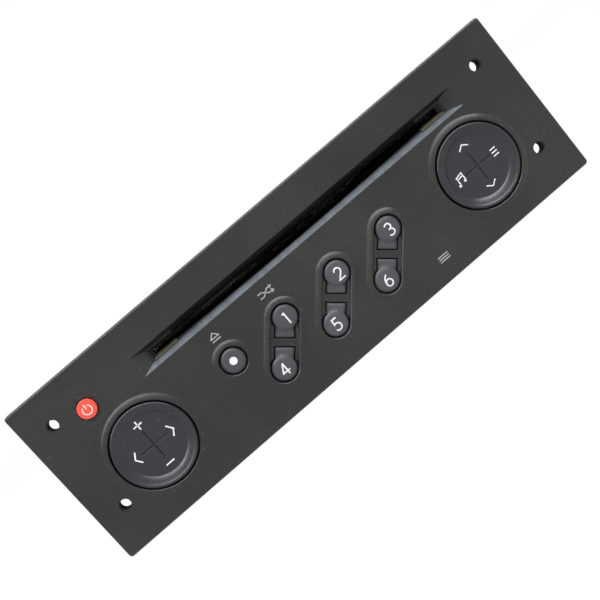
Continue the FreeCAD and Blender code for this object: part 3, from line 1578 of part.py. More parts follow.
def dust_felts():
    """Two felt strips on the front of the frame, with a slit between them for the disc."""
    reach = roller_half_length + 1.0
    strips = []
    for side in (-1, 1):
        near = slot_z + side * felt_slit / 2
        strips.append(block((slot_x - reach, slot_x + reach), (mech_front - felt_wall, mech_front),
                            (near, near + side * felt_height)))
    return Part.makeCompound(strips)


def mode_slide():
    """A cam plate: guide slots on two studs, a rack below, and a cam slot for each pin."""
    xs = slide_xs()
    bar = block(xs, (slide_front, slide_rear), (slide_bottom, slide_top))
    nose = block(xs, (slide_front, slide_front + 16), (slide_bottom - 3.2, slide_bottom + 1))
    tail = block(xs, (clamp_pin_depth - 14, slide_rear), (slide_top - 1, slide_top + 3.0))
    rack_start = mode_motor_depth - slide_travel - 3.0
    pitch_z = mode_motor_z + pitch_radius(pinion_teeth) + gear_centre_gap
    length = slide_travel + 8.0
    gap_at = mode_motor_depth - rack_start
    pitch = math.pi * gear_module
    first = (gap_at + pitch / 2) % pitch
    teeth = rack(at(xs[0], rack_start, pitch_z), inward, up * -1, slide_wall, length, first + pitch)
    if teeth.BoundBox.XMin < xs[0] - 1e-6:
        teeth.translate(across * slide_wall)
    back = block(xs, (rack_start, rack_start + length),
                 (pitch_z + gear_dedendum * gear_module, slide_bottom + 1))
    body = join(bar, nose, tail, teeth, back)
    cutters = []
    for path in (bracket_pin_path(), clamp_pin_path()):
        count = len(path) - 1
        seen = [(d - slide_travel * i / count, z) for i, (d, z) in enumerate(path)]
        cutters.append(slot_across((xs[0] - 1, xs[1] + 1), seen, cam_pin_radius + cam_gap))
    for depth in slide_stud_places:
        cutters.append(capsule_across((xs[0] - 1, xs[1] + 1), (depth - slide_travel - 0.3, slide_stud_z()),
                                      (depth + 0.3, slide_stud_z()), slide_stud_radius + running_gap))
    return body.cut(cutters).removeSplitter()


def mode_motor():
    end = slot_x + mech_inner
    xs = (end - mode_motor_length, end)
    can = pin_across(mode_motor_depth, mode_motor_z, mode_motor_radius, xs)
    can = soften(can, 0.6, lambda e: abs(e.CenterOfMass.x - xs[0]) < 1e-3)
    return can.cut(pin_across(mode_motor_depth, mode_motor_z, stud_pin_radius + running_gap,
                              (end - 8, end + 1)))


def mode_pinion():
    xs = slide_xs()
    body = gear_across(xs, (mode_motor_depth, mode_motor_z), pinion_teeth, math.pi / 2)
    shaft = pin_across(mode_motor_depth, mode_motor_z, stud_pin_radius, (slot_x + mech_inner - 7, xs[1]))
    return join(body, shaft)


def deck():
    """The inner plate: windows for the pickup, ears for the clamp arm and holders for the rods."""
    left, right = slot_x - mech_inner + deck_side_gap, slot_x + mech_inner - deck_side_gap
    plate = block((left, right), (deck_front, deck_rear), (deck_z, deck_top))
    window = block((slot_x + rod_start + 1.5, right - 2.3),
                   (spindle_depth - rod_offset - 2.8, spindle_depth + rod_offset + 3.5),
                   (deck_z - 1, deck_top + 1))
    lighten = block((left + 8, slot_x - 24.0), (spindle_depth - 26, spindle_depth + 34),
                    (deck_z - 1, deck_top + 1))
    ears = []
    for side in (-1, 1):
        near = clamp_half_width + clamp_ear_wall + 0.4
        xs = (slot_x + side * near, slot_x + side * (near + deck_wall))
        ears.append(join(block(xs, (clamp_pivot_depth - 4, clamp_pivot_depth + 3.4), (deck_z, clamp_pivot_z)),
                         pin_across(*clamp_pivot, clamp_ear_radius, xs)))
    pivots = [pin_across(*clamp_pivot, clamp_pivot_radius,
                         (slot_x + side * (clamp_half_width - 0.6),
                          slot_x + side * (clamp_half_width + clamp_ear_wall + 1.2))) for side in (-1, 1)]
    holders = []
    for depth, radius in rod_list():
        for xs in ((slot_x + rod_start, slot_x + rod_start + 1.2), (right - 2.2, right - 1.0)):
            holder = block(xs, (depth - 2.4, depth + 2.4), (deck_z, rod_z + radius + 0.9))
            holders.append(holder)
    gear_stud = pin_up(sled_gear_x, sled_gear_depth, stud_pin_radius, (deck_z, deck_top + 5.2))
    motor_room = block((slot_x + mech_inner - mode_motor_length - 1, right + 1),
                       (mode_motor_depth - mode_motor_radius - 1, mode_motor_depth + mode_motor_radius + 1),
                       (deck_z - 1, deck_top + 1))
    body = plate.cut([window, lighten, motor_room]).fuse(ears + pivots + holders + [gear_stud])
    holes = [pin_up(slot_x, spindle_depth, 4.0, (deck_z - 1, deck_top + 1)),
             pin_up(*sled_motor_place(), pitch_radius(pinion_teeth) + 1.2, (deck_z - 1, deck_top + 1))]
    holes += [pin_across(depth, rod_z, radius, (slot_x + rod_start - 0.5, right))
              for depth, radius in rod_list()]
    return body.cut(holes).removeSplitter()


def rod_list():
    """The two guide rods as (depth, radius)."""
    return ((spindle_depth - rod_offset, main_rod_radius), (spindle_depth + rod_offset, sub_rod_radius))


def guide_rods():
    right = slot_x + mech_inner - deck_side_gap
    return Part.makeCompound([pin_across(depth, rod_z, radius, (slot_x + rod_start, right - 1.0))
                              for depth, radius in rod_list()])


def dampers():
    """Rubber bobbins between the frame's floor and the deck."""
    low, high = mech_bottom + mech_wall, deck_z
    middle = (low + high) / 2
    x, right = mech_half_width - damper_inset, mech_half_width - damper_inset + 2.0
    front, rear = deck_front + damper_end_gap, deck_rear - damper_end_gap
    places = ((slot_x - x, front), (slot_x + right, front), (slot_x - x, rear), (slot_x + x, rear))
    return Part.makeCompound([turned_up(x, depth, (0, low), (damper_radius, low), (damper_radius, low + 1.6),
                                        ((damper_waist, middle), (damper_radius, high - 1.6)),
                                        (damper_radius, high), (0, high)) for x, depth in places])


def spindle_motor():
    high = deck_z
    can = pin_up(slot_x, spindle_depth, spindle_motor_radius, (high - spindle_motor_height, high))
    can = soften(can, 0.8, lambda e: abs(e.CenterOfMass.z - high + spindle_motor_height) < 1e-3)
    return can.cut(pin_up(slot_x, spindle_depth, spindle_shaft_radius + running_gap,
                          (high - spindle_motor_height + 1, high + 1)))


def turntable():
    """The turntable with its centring cone and the spindle shaft."""
    top = turntable_top
    low = deck_z - spindle_motor_height + 1.2
    r = spindle_shaft_radius
    return turned_up(slot_x, spindle_depth, (0, low), (r, low), (r, deck_top + 1.0), (3.4, deck_top + 1.0),
                     (3.4, top - 1.2), (turntable_radius, top - 1.2), (turntable_radius, top),
                     (cone_radius, top), (cone_radius, top + 0.5), (cone_top_radius, top + cone_height),
                     (0, top + cone_height))


def clamp_closed_arm():
    """The clamp arm as it lies when closed: two ears, a cross plate and a tongue over the spindle."""
    x, a = slot_x, clamp_half_width
    low = clamp_pivot_z - clamp_wall / 2
    zs = (low, low + clamp_wall)
    front, back = clamp_pivot_depth - 5, clamp_pivot_depth + 3
    step, end = front - clamp_plate_step, spindle_depth - clamp_tongue_reach
    plate = plate_up(zs, (x - a, front), (x - clamp_shoulder, step), (x - clamp_tongue, end),
                     ((x, end - clamp_tongue / 2), (x + clamp_tongue, end)), (x + clamp_shoulder, step),
                     (x + a, front), (x + a, back), (x - a, back))
    hole_depth = (spindle_depth + clamp_pivot_depth) / 2 + 6
    plate = plate.cut([pin_up(x, spindle_depth, puck_hub_radius + 0.4, (low - 1, low + 2)),
                       pin_up(x, hole_depth, clamp_hole_radius, (low - 1, low + 2))])
    ears = [capsule_across((x + side * a, x + side * (a + clamp_ear_wall)), clamp_pivot,
                           (clamp_pin_depth, clamp_pin_z), clamp_ear_radius) for side in (-1, 1)]
    pin = pin_across(clamp_pin_depth, clamp_pin_z, cam_pin_radius,
                     (x + a + clamp_ear_wall / 2, slide_xs()[1]))
    bore = [pin_across(*clamp_pivot, clamp_pivot_radius + running_gap,
                       (x + side * (a - 2), x + side * (a + 3))) for side in (-1, 1)]
    return join(plate, *ears, pin).cut(bore)


def clamp_closed_puck():
    """The clamp puck when closed: a ring that presses the disc, and a hub through the arm."""
    ring_low = turntable_top + disc_thickness + 0.1
    arm_low = clamp_pivot_z - clamp_wall / 2
    arm_top = arm_low + clamp_wall
    rim = arm_low - 0.4
    hub, cap = puck_hub_radius, puck_hub_radius + 2.0
    return turned_up(slot_x, spindle_depth, (puck_hole_radius, ring_low), (puck_radius, ring_low),
                     (puck_radius, rim), (hub, rim), (hub, arm_top + 0.3), (cap, arm_top + 0.3),
                     (cap, arm_top + 1.1), (0, arm_top + 1.1), (0, ring_low + 2.4),
                     (puck_hole_radius, ring_low + 2.4))


def opened(shape):
    """A clamp piece turned up from closed to open, which is how it rests."""
    return shape.rotated(at(slot_x, clamp_pivot_depth, clamp_pivot_z), across, -clamp_open)


def pickup_sled():
    """The pickup's body, with a long bearing, a fork, a lens well and the rack on its front."""
    x, d = slot_x + lens_start_radius, spindle_depth
    a, b = sled_half_length, sled_half_width
    main, sub = d - rod_offset, d + rod_offset
    body = block((x - a, x + a), (d - b, d + b), (rod_z - 4.6, rod_z + 2.2))
    body = soften(body, 1.2, lambda e: e.BoundBox.XLength < 1e-4 and e.BoundBox.YLength < 1e-4)
    bearing = block((x - a, x + a), (main - 3.2, d - b + 1), (rod_z - 2.6, rod_z + 2.2))
    fork = block((x - 4, x + 4), (d + b - 1, sub + 2.6), (rod_z - 2.2, rod_z + 2.0))
    pitch_line = sled_gear_depth + pitch_radius(sled_small_teeth) + gear_centre_gap
    z_low, z_high = sled_small_zs()
    left = sled_gear_x - sled_travel - 3.0
    pitch = math.pi * gear_module
    first = (sled_gear_x - left + pitch / 2) % pitch
    teeth = rack(at(left, pitch_line, z_low), across, inward * -1, z_high - z_low, rack_length, first + pitch)
    if teeth.BoundBox.ZMin < z_low - 1e-6:
        teeth.translate(up * (z_high - z_low))
    link = block((x - a + 1, left + rack_length - 1),
                 (pitch_line + gear_dedendum * gear_module + 0.3, main - 3.0), (z_low, z_high))
    body = join(body, bearing, fork, teeth, link)
    well, grip = lens_holder / 2 + 0.5, sub_rod_radius + running_gap
    cutters = [pin_across(main, rod_z, main_rod_radius + running_gap, (x - a - 1, x + a + 1)),
               block((x - 5, x + 5), (sub - grip, sub + 3), (rod_z - grip, rod_z + grip)),
               block((x - well, x + well), (d - well, d + well), (rod_z - 3.4, rod_z + 3))]
    return body.cut(cutters).removeSplitter()


def objective_lens():
    x, d = slot_x + lens_start_radius, spindle_depth
    h = lens_holder / 2
    holder = block((x - h, x + h), (d - h, d + h), (rod_z - 1.4, rod_z + 1.3))
    holder = soften(holder, 1.0, lambda e: e.BoundBox.XLength < 1e-4 and e.BoundBox.YLength < 1e-4)
    top = rod_z + 1.3
    dome = turned_up(x, d, (0, top - 0.5), (lens_radius, top - 0.5), (lens_radius, top),
                     ((lens_radius * 0.6, top + 0.35), (0, top + 0.5)))
    return join(holder, dome)


def sled_big_zs():
    return (deck_top + 0.4, deck_top + 1.8)


def sled_small_zs():
    return (deck_top + 2.1, deck_top + 4.3)


def sled_motor_place():
    distance = gear_distance(sled_big_teeth, pinion_teeth)
    return (sled_gear_x + distance * math.cos(sled_motor_angle),
            sled_gear_depth + distance * math.sin(sled_motor_angle))


def gear_up(zs, place, teeth, phase):
    return gear(at(place[0], place[1], zs[0]), across, inward, zs[1] - zs[0], teeth, phase)


def sled_gear():
    place = (sled_gear_x, sled_gear_depth)
    small, big = sled_small_zs(), sled_big_zs()
    hub = pin_up(*place, pitch_radius(sled_small_teeth) - gear_module * gear_dedendum, (big[0], small[1]))
    body = join(hub, gear_up(small, place, sled_small_teeth, math.pi / 2),
                gear_up(big, place, sled_big_teeth, 0.0))
    return body.cut(pin_up(*place, stud_pin_radius + running_gap, (big[0] - 1, small[1] + 1)))


def sled_pinion():
    place = sled_motor_place()
    phase = meshing_phase(0.0, sled_big_teeth, sled_motor_angle, pinion_teeth)
    body = gear_up(sled_big_zs(), place, pinion_teeth, phase)
    return join(body, pin_up(*place, stud_pin_radius, (deck_z - sled_motor_height / 2, sled_big_zs()[1])))


def sled_motor():
    place = sled_motor_place()
    can = pin_up(*place, sled_motor_radius, (deck_z - sled_motor_height, deck_z))
    can = soften(can, 0.6, lambda e: abs(e.CenterOfMass.z - deck_z + sled_motor_height) < 1e-3)
    bore = pin_up(*place, stud_pin_radius + running_gap, (deck_z - sled_motor_height / 2 - 1, deck_z + 1))
    return can.cut(bore)


def pieces():
    """Every piece by name."""
    made = {
        "front_panel": front_panel(),
        "slot_guides": Part.makeCompound([slot_guide(-1), slot_guide(1)]),
        "keymat": keymat(),
        "front_board": front_board(),
        "power_button": round_key(power_x, power_z, power_radius, power_gap, power_crown),
        "eject_button": round_key(eject_x, eject_z, key_radius, key_gap, key_crown),
        "left_pad": pad(-pad_x),
        "right_pad": pad(pad_x),
        "left_pad_gimbal": gimbal(-pad_x),
        "right_pad_gimbal": gimbal(pad_x),
        "pad_mounts": Part.makeCompound([pad_mount(-pad_x), pad_mount(pad_x)]),
        "chassis": chassis(),
        "top_cover": top_cover(),
        "heat_sink": heat_sink(),
        "rear_stud": rear_stud(),
        "side_latch_left": side_latch(-1),
        "side_latch_right": side_latch(1),
        "latch_pins": latch_pins(),
        "case_screws": Part.makeCompound([pan_screw(*place) for place in case_screw_list()]),
        "antenna_socket": antenna_socket(),
        "iso_connector": iso_connector(),
        "connector_pins": Part.makeCompound(connector_blades()),
        "main_board": main_board(),
        "board_components": board_components(),
        "amplifier_chip": amplifier_chip(),
        "tuner_module": tuner_module(),
        "ribbon_cable": ribbon_cable(),
        "inner_screws": inner_screws(),
        "mech_frame": mech_frame(),
        "disc_guide": disc_guide(),
        "dust_felts": dust_felts(),
        "roller_bracket": roller_bracket(),
        "loading_roller": loading_roller(),
        "roller_shaft": roller_shaft(),
        "second_gear": compound_gear(second_axis, (0, 1), second_small_teeth, second_small_phase,
                                     second_big_teeth),
        "first_gear": compound_gear(first_axis, (1, 2), first_small_teeth, first_small_phase,
                                    first_big_teeth),
        "loading_motor": loading_motor(),
        "loading_pinion": loading_pinion(),
        "gear_bracket": gear_bracket(),
        "mode_slide": mode_slide(),
        "mode_motor": mode_motor(),
        "mode_pinion": mode_pinion(),
        "clamp_arm": opened(clamp_closed_arm()),
        "clamp_puck": opened(clamp_closed_puck()),
        "deck": deck(),
        "dampers": dampers(),
        "spindle_motor": spindle_motor(),
        "turntable": turntable(),
        "pickup_sled": pickup_sled(),
        "objective_lens": objective_lens(),
        "guide_rods": guide_rods(),
        "sled_gear": sled_gear(),
        "sled_motor": sled_motor(),
        "sled_pinion": sled_pinion(),
    }
    for number, (place, sign) in enumerate(key_places(), start=1):
        made[f"key_{number}"] = preset_key(place, sign)
    return made


for name, shape in pieces().items():
    shape.exportStep(f"parts/{name}.step")
    print(name, len(shape.Solids), round(shape.Volume, 1), shape.isValid())
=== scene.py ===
import math

import bmesh
import bpy
from mathutils import Matrix, Vector
from mathutils.bvhtree import BVHTree


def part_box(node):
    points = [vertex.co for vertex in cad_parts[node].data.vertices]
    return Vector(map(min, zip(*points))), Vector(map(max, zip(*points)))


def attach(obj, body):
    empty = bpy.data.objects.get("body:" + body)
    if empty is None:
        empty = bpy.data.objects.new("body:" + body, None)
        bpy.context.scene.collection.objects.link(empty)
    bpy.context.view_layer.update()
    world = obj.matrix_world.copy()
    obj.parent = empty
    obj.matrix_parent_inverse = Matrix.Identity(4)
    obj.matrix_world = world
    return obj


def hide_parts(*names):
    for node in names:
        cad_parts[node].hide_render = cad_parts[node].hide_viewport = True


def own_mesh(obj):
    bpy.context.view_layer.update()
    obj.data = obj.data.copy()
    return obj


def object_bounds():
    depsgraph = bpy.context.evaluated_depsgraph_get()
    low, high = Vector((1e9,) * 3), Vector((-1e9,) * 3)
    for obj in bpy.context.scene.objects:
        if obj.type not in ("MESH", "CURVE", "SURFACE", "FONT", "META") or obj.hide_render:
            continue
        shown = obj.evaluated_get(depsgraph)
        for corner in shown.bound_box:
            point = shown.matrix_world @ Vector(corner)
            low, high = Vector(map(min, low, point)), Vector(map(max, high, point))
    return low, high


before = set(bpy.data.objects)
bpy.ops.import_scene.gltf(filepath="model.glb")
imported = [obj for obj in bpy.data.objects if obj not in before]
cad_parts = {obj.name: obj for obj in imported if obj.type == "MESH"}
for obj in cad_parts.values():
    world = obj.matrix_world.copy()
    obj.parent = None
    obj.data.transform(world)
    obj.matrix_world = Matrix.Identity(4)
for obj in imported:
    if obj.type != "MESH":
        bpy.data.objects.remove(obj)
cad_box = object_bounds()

MM = 0.001
SMOOTH_ANGLE = math.radians(28)

# The camera, where it stood for the photograph, from the middle of the front panel
CAMERA_OFFSET = Vector((-0.01541, -0.29124, 0.03729))
CAMERA_RIGHT = Vector((0.757408, -0.117453, -0.642291))
CAMERA_UP = Vector((0.651731, 0.076098, 0.754623))
CAMERA_LENS = 53.6

# Places and sizes on the front, in millimetres, as the CAD source has them
FIRST_KEY = (-11.1, 27.65)
KEY_PITCH = 22.55
PAIR_LENGTH = 17.0
PAIR_SLOPE = math.radians(49.2)
EJECT_KEY = (-33.3, 27.9)
POWER_KEY = (-79.2, 47.1)
PADS = {"left": (-70.9, 23.85), "right": (70.9, 23.85)}
PAD_RING = (10.8, 13.4)
PAD_RING_RISE = 1.73
SLOT_MIDDLE = (10.7, 46.6)
SLOT_HALF_SIZE = (69.2, 4.0)
RELEASE_HOLES = (91.0, 32.5, 17.55, 2.3)

# Printed signs, in millimetres
DIGIT_HEIGHT = 4.4
DIGIT_WIDTH = 0.5
DIGIT_STARTS = ((-1.1, -2.7), (-0.95, -2.8), (-1.1, -2.6), (-1.65, -2.35), (-1.2, -2.3), (-1.3, -2.4))
PRINT_PROUD = 0.02
PRINT_STEP = 0.4
EJECT_DOT_RADIUS = 1.35
POWER_SIGN_RADIUS = 1.6
NOTE_HEAD_RADIUS = 0.5

# The silicone mat behind the keys: its web, where its domes are cut off, and how far they flatten
MAT_WALL = 1.0
MAT_CUT = 0.001
KEY_DOME_GIVE = 0.62
PAD_DOME_GIVE = 0.7
PAD_DOME_PLACE = 7.78
DOME_REACH = 4.0


def panel_middle():
    low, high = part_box("front_panel")
    return Vector(((low.x + high.x) / 2, low.y, (low.z + high.z) / 2))


def key_place(number):
    """The middle of a numbered key's round cap."""
    x, z = FIRST_KEY[0] + KEY_PITCH * ((number - 1) % 3), FIRST_KEY[1]
    if number > 3:
        x -= math.cos(PAIR_SLOPE) * PAIR_LENGTH
        z -= math.sin(PAIR_SLOPE) * PAIR_LENGTH
    return x, z


def make_camera():
    data = bpy.data.cameras.new("camera")
    data.sensor_fit = "HORIZONTAL"
    data.sensor_width = 36.0
    data.lens = CAMERA_LENS
    data.clip_start = 0.01
    camera = bpy.data.objects.new("camera", data)
    bpy.context.scene.collection.objects.link(camera)
    right, up = CAMERA_RIGHT.normalized(), CAMERA_UP.normalized()
    back = right.cross(up)
    turn = Matrix((right, up, back)).transposed().to_4x4()
    camera.matrix_world = Matrix.Translation(panel_middle() + CAMERA_OFFSET) @ turn
    bpy.context.scene.camera = camera


# Materials

# Painted highlight on the slot's lower bevel, where its face looks upward: pale grey on the panel, tan on the
# slot guides
LIP_PAINTED_HIGHLIGHT = (0.13, 0.14, 0.155)
GUIDE_LIP_PAINTED_HIGHLIGHT = (0.3, 0.26, 0.18)
# Lighter edges: partly rubbed wear, partly a painted highlight on crests and rims
RUBBED_AND_HIGHLIT = (0.07, 0.07, 0.068)
RUBBED_AND_HIGHLIT_RADIUS = 0.0003
EDGE_SAMPLES = 6
FILM = (0.08, 0.077, 0.064)
FILM_MOST = 0.2
FILM_PER_DUST = 1.6
MOTE = (0.34, 0.33, 0.29)
MOTE_SIZES = ((760, 0.15, 0.5), (1500, 0.24, 0.4))
GRAIN_SCALE = 4200
GRAIN_DEPTH = 0.00006
STREAK_DEPTH = 0.00004
FUZZ_DEPTH = 0.0001
TRACK_DEPTH = 0.00005


def new_material(name):
    """A material's name, its node tree and its main shader."""
    material = bpy.data.materials.new(name)
    material.use_nodes = True
    tree = material.node_tree
    return material, tree, tree.nodes["Principled BSDF"]


def add(tree, kind, inputs=None, **settings):
    node = tree.nodes.new(kind)
    for key, value in settings.items():
        setattr(node, key, value)
    for key, value in (inputs or {}).items():
        if isinstance(value, bpy.types.NodeSocket):
            tree.links.new(value, node.inputs[key])
        else:
            node.inputs[key].default_value = value
    return node


def maths(tree, operation, a, b=0.0):
    return add(tree, "ShaderNodeMath", {0: a, 1: b}, operation=operation).outputs[0]


def noise(tree, scale, detail=4.0, stretch=(1, 1, 1)):
    """Noise in the object's own coordinates, drawn out along an axis by a stretch below one."""
    place = add(tree, "ShaderNodeTexCoord").outputs["Object"]
    place = add(tree, "ShaderNodeMapping", {"Vector": place, "Scale": stretch}).outputs[0]
    return add(tree, "ShaderNodeTexNoise", {"Vector": place, "Scale": scale, "Detail": detail}).outputs["Fac"]


def specks(tree, scale, size, share):
    """Small scattered dots: one where a cell is chosen and the point lies near its centre."""
    place = add(tree, "ShaderNodeTexCoord").outputs["Object"]
    cells = add(tree, "ShaderNodeTexVoronoi", {"Vector": place, "Scale": scale})
    chosen = add(tree, "ShaderNodeSeparateColor", {0: cells.outputs["Color"]})
    wide = maths(tree, "MULTIPLY", chosen.outputs[1], size)
    near = maths(tree, "LESS_THAN", cells.outputs["Distance"], wide)
    return maths(tree, "MULTIPLY", near, maths(tree, "GREATER_THAN", chosen.outputs[0], 1 - share))


def ramp(tree, value, low, high, start, end):
    """Value mapped from start..end to low..high."""
    node = add(tree, "ShaderNodeMapRange", {"Value": value, "From Min": start, "From Max": end,
                                            "To Min": low, "To Max": high})
    return node.outputs[0]


def blended(tree, factor, first, second):
    node = add(tree, "ShaderNodeMix", {"Factor": factor}, data_type="RGBA")
    for socket, colour in ((6, first), (7, second)):
        if isinstance(colour, bpy.types.NodeSocket):
            tree.links.new(colour, node.inputs[socket])
        else:
            node.inputs[socket].default_value = (*colour, 1)
    return node.outputs[2]


def bump(tree, shader, height, strength, distance, under=None):
    """A fine relief, laid over another normal where one is given."""
    node = add(tree, "ShaderNodeBump", {"Height": height, "Strength": strength, "Distance": distance})
    if under:
        tree.links.new(under, node.inputs["Normal"])
    tree.links.new(node.outputs[0], shader.inputs["Normal"])


def moulded(name, colour, roughness, dust=0.0, grain=0.25, lighter=1.35, sheen=0.5, edge_radius=0.0,
            lip_highlight=None, ring=None, holes=None):
    """Moulded plastic: a fine eroded grain, patchy sheen, rubbed edges that also carry a painted edge
    highlight, a painted highlight on the slot's lower bevel where one is given, and a little dust.
    """
    material, tree, shader = new_material(name)
    shader.inputs["Specular IOR Level"].default_value = sheen
    patches = ramp(tree, noise(tree, 38, 6), 0.0, 1.0, 0.35, 0.7)
    paint = blended(tree, patches, colour, [c * lighter for c in colour])
    # Painted highlight on the upward face of the slot's lower bevel
    if lip_highlight:
        paint = blended(tree, painted_lip_highlight(tree, *lip_highlight[1:]), paint, lip_highlight[0])
    # Lighter edges: rubbed wear and a painted edge highlight
    if edge_radius:
        paint = blended(tree, worn_and_highlit_edges(tree), paint, RUBBED_AND_HIGHLIT)
    if dust:
        film = maths(tree, "MULTIPLY", ramp(tree, noise(tree, 26, 7), 0.0, 1.0, 0.42, 0.72),
                     ramp(tree, noise(tree, 1300, 3), 0.2, 1.0, 0.35, 0.65))
        film = maths(tree, "MULTIPLY", film, min(FILM_MOST, dust * FILM_PER_DUST))
        paint = blended(tree, film, paint, FILM)
        for scale, size, share in MOTE_SIZES:
            motes = specks(tree, scale, size, dust)
            paint = blended(tree, maths(tree, "MULTIPLY", motes, share), paint, MOTE)
    tree.links.new(paint, shader.inputs["Base Color"])
    uneven = ramp(tree, noise(tree, 60, 5), roughness - 0.07, roughness + 0.09, 0.3, 0.7)
    if holes:
        uneven = maths(tree, "MAXIMUM", uneven, inside_holes(tree, *holes))
    tree.links.new(uneven, shader.inputs["Roughness"])
    under = None
    if edge_radius:
        under = add(tree, "ShaderNodeBevel", {"Radius": edge_radius}, samples=EDGE_SAMPLES).outputs[0]
    if ring:
        full = {"Height": ring_rise(tree, *ring), "Distance": 1.0, "Strength": 1.0, "Normal": under}
        under = add(tree, "ShaderNodeBump", full).outputs[0]
    bump(tree, shader, noise(tree, GRAIN_SCALE, 3), grain, GRAIN_DEPTH, under)
    return material


def inside_holes(tree, across, up, apart, radius):
    """One on the unpolished walls of the release holes, which stand in pairs at both ends."""
    place = add(tree, "ShaderNodeTexCoord").outputs["Object"]
    x, _, z = add(tree, "ShaderNodeSeparateXYZ", {0: place}).outputs
    x = maths(tree, "SUBTRACT", maths(tree, "ABSOLUTE", x), across)
    z = maths(tree, "SUBTRACT", maths(tree, "ABSOLUTE", maths(tree, "SUBTRACT", z, up)), apart)
    away = maths(tree, "ADD", maths(tree, "POWER", x, 2.0), maths(tree, "POWER", z, 2.0))
    return maths(tree, "LESS_THAN", away, radius * radius)


def ring_rise(tree, centre, inner, outer, rise):
    """The fullness of a pad's ring, which climbs straight from the disc's edge to the rim."""
    place = add(tree, "ShaderNodeTexCoord").outputs["Object"]
    across, _, up = add(tree, "ShaderNodeSeparateXYZ", {0: place}).outputs
    across = maths(tree, "SUBTRACT", maths(tree, "ABSOLUTE", across), centre[0])
    up = maths(tree, "SUBTRACT", up, centre[1])
    radius = maths(tree, "SQRT", maths(tree, "ADD", maths(tree, "POWER", across, 2.0),
                                       maths(tree, "POWER", up, 2.0)))
    share = ramp(tree, radius, 0.0, 1.0, inner, outer)
    return maths(tree, "MULTIPLY", maths(tree, "MULTIPLY", share, maths(tree, "SUBTRACT", 1.0, share)), rise)


def worn_and_highlit_edges(tree):
    """How far an edge is lightened, partly as rubbed wear and partly as a painted edge highlight: the eased
    surface set against the true one, broken up by noise.
    """
    eased = add(tree, "ShaderNodeBevel", {"Radius": RUBBED_AND_HIGHLIT_RADIUS}, samples=EDGE_SAMPLES).outputs[0]
    true = add(tree, "ShaderNodeNewGeometry").outputs["Normal"]
    along = add(tree, "ShaderNodeVectorMath", {0: eased, 1: true}, operation="DOT_PRODUCT").outputs["Value"]
    share = ramp(tree, along, 0.6, 0.0, 0.7, 0.97)
    return maths(tree, "MULTIPLY", share, ramp(tree, noise(tree, 300, 5), 0.1, 1.0, 0.4, 0.65))


def painted_lip_highlight(tree, middle, half_length, half_height):
    """A painted highlight on the slot's lower bevel: the steep upward face below the slot's middle, made
    lighter as if lit from above.
    """
    place = add(tree, "ShaderNodeTexCoord").outputs["Object"]
    from_slot = add(tree, "ShaderNodeVectorMath", {0: place, 1: middle}, operation="SUBTRACT").outputs[0]
    across, _, up = add(tree, "ShaderNodeSeparateXYZ", {0: from_slot}).outputs
    normal = add(tree, "ShaderNodeNewGeometry").outputs["Normal"]
    facing = add(tree, "ShaderNodeSeparateXYZ", {0: normal}).outputs
    share = ramp(tree, noise(tree, 500, 5, (1, 0.15, 0.15)), 0.75, 1.0, 0.35, 0.65)
    for test in (maths(tree, "GREATER_THAN", facing["Z"], 0.7), maths(tree, "LESS_THAN", facing["Y"], -0.2),
                 maths(tree, "LESS_THAN", maths(tree, "ABSOLUTE", across), half_length),
                 maths(tree, "LESS_THAN", maths(tree, "ABSOLUTE", up), half_height)):
        share = maths(tree, "MULTIPLY", share, test)
    return share


def metal(name, colour, roughness, streaks=(1, 1, 1), scale=600.0, spread=0.12, spangle=0.0):
    """Bare metal with rolled or brushed streaks, and a zinc spangle where one is asked for."""
    material, tree, shader = new_material(name)
    shader.inputs["Metallic"].default_value = 1.0
    lines = noise(tree, scale, 5, streaks)
    darker, lighter = [c * (1 - spread) for c in colour], [min(1, c * (1 + spread)) for c in colour]
    paint = blended(tree, lines, darker, lighter)
    if spangle:
        place = add(tree, "ShaderNodeTexCoord").outputs["Object"]
        flakes = add(tree, "ShaderNodeTexVoronoi", {"Vector": place, "Scale": 150.0})
        tone = add(tree, "ShaderNodeSeparateColor", {0: flakes.outputs["Color"]}).outputs[0]
        paint = blended(tree, maths(tree, "MULTIPLY", tone, spangle), paint, [c * 0.72 for c in colour])
    tree.links.new(paint, shader.inputs["Base Color"])
    tree.links.new(ramp(tree, noise(tree, 45, 6), roughness * 0.75, roughness * 1.35, 0.3, 0.7),
                   shader.inputs["Roughness"])
    bump(tree, shader, lines, 0.12, STREAK_DEPTH)
    return material


def soft(name, colour, roughness, scale=1800.0, strength=0.5, sheen=0.5):
    """Rubber, silicone or felt: dull, with a soft uneven surface."""
    material, tree, shader = new_material(name)
    fuzz = noise(tree, scale, 6)
    paint = blended(tree, fuzz, [c * 0.7 for c in colour], [c * 1.3 for c in colour])
    tree.links.new(paint, shader.inputs["Base Color"])
    shader.inputs["Roughness"].default_value = roughness
    shader.inputs["Specular IOR Level"].default_value = sheen
    bump(tree, shader, fuzz, strength, FUZZ_DEPTH)
    return material


def circuit_board(name):
    """Green lacquer over copper tracks and pads."""
    material, tree, shader = new_material(name)
    place = add(tree, "ShaderNodeTexCoord").outputs["Object"]
    tracks = add(tree, "ShaderNodeTexVoronoi", {"Vector": place, "Scale": 190.0}, distance="MANHATTAN",
                 feature="F1").outputs["Distance"]
    lines = maths(tree, "LESS_THAN", maths(tree, "FRACT", maths(tree, "MULTIPLY", tracks, 5.0)), 0.4)
    pads = specks(tree, 260, 0.3, 0.5)
    paint = blended(tree, lines, (0.012, 0.1, 0.035), (0.03, 0.19, 0.07))
    paint = blended(tree, pads, paint, (0.62, 0.6, 0.55))
    tree.links.new(paint, shader.inputs["Base Color"])
    shader.inputs["Roughness"].default_value = 0.35
    bump(tree, shader, lines, 0.2, TRACK_DEPTH)
    return material


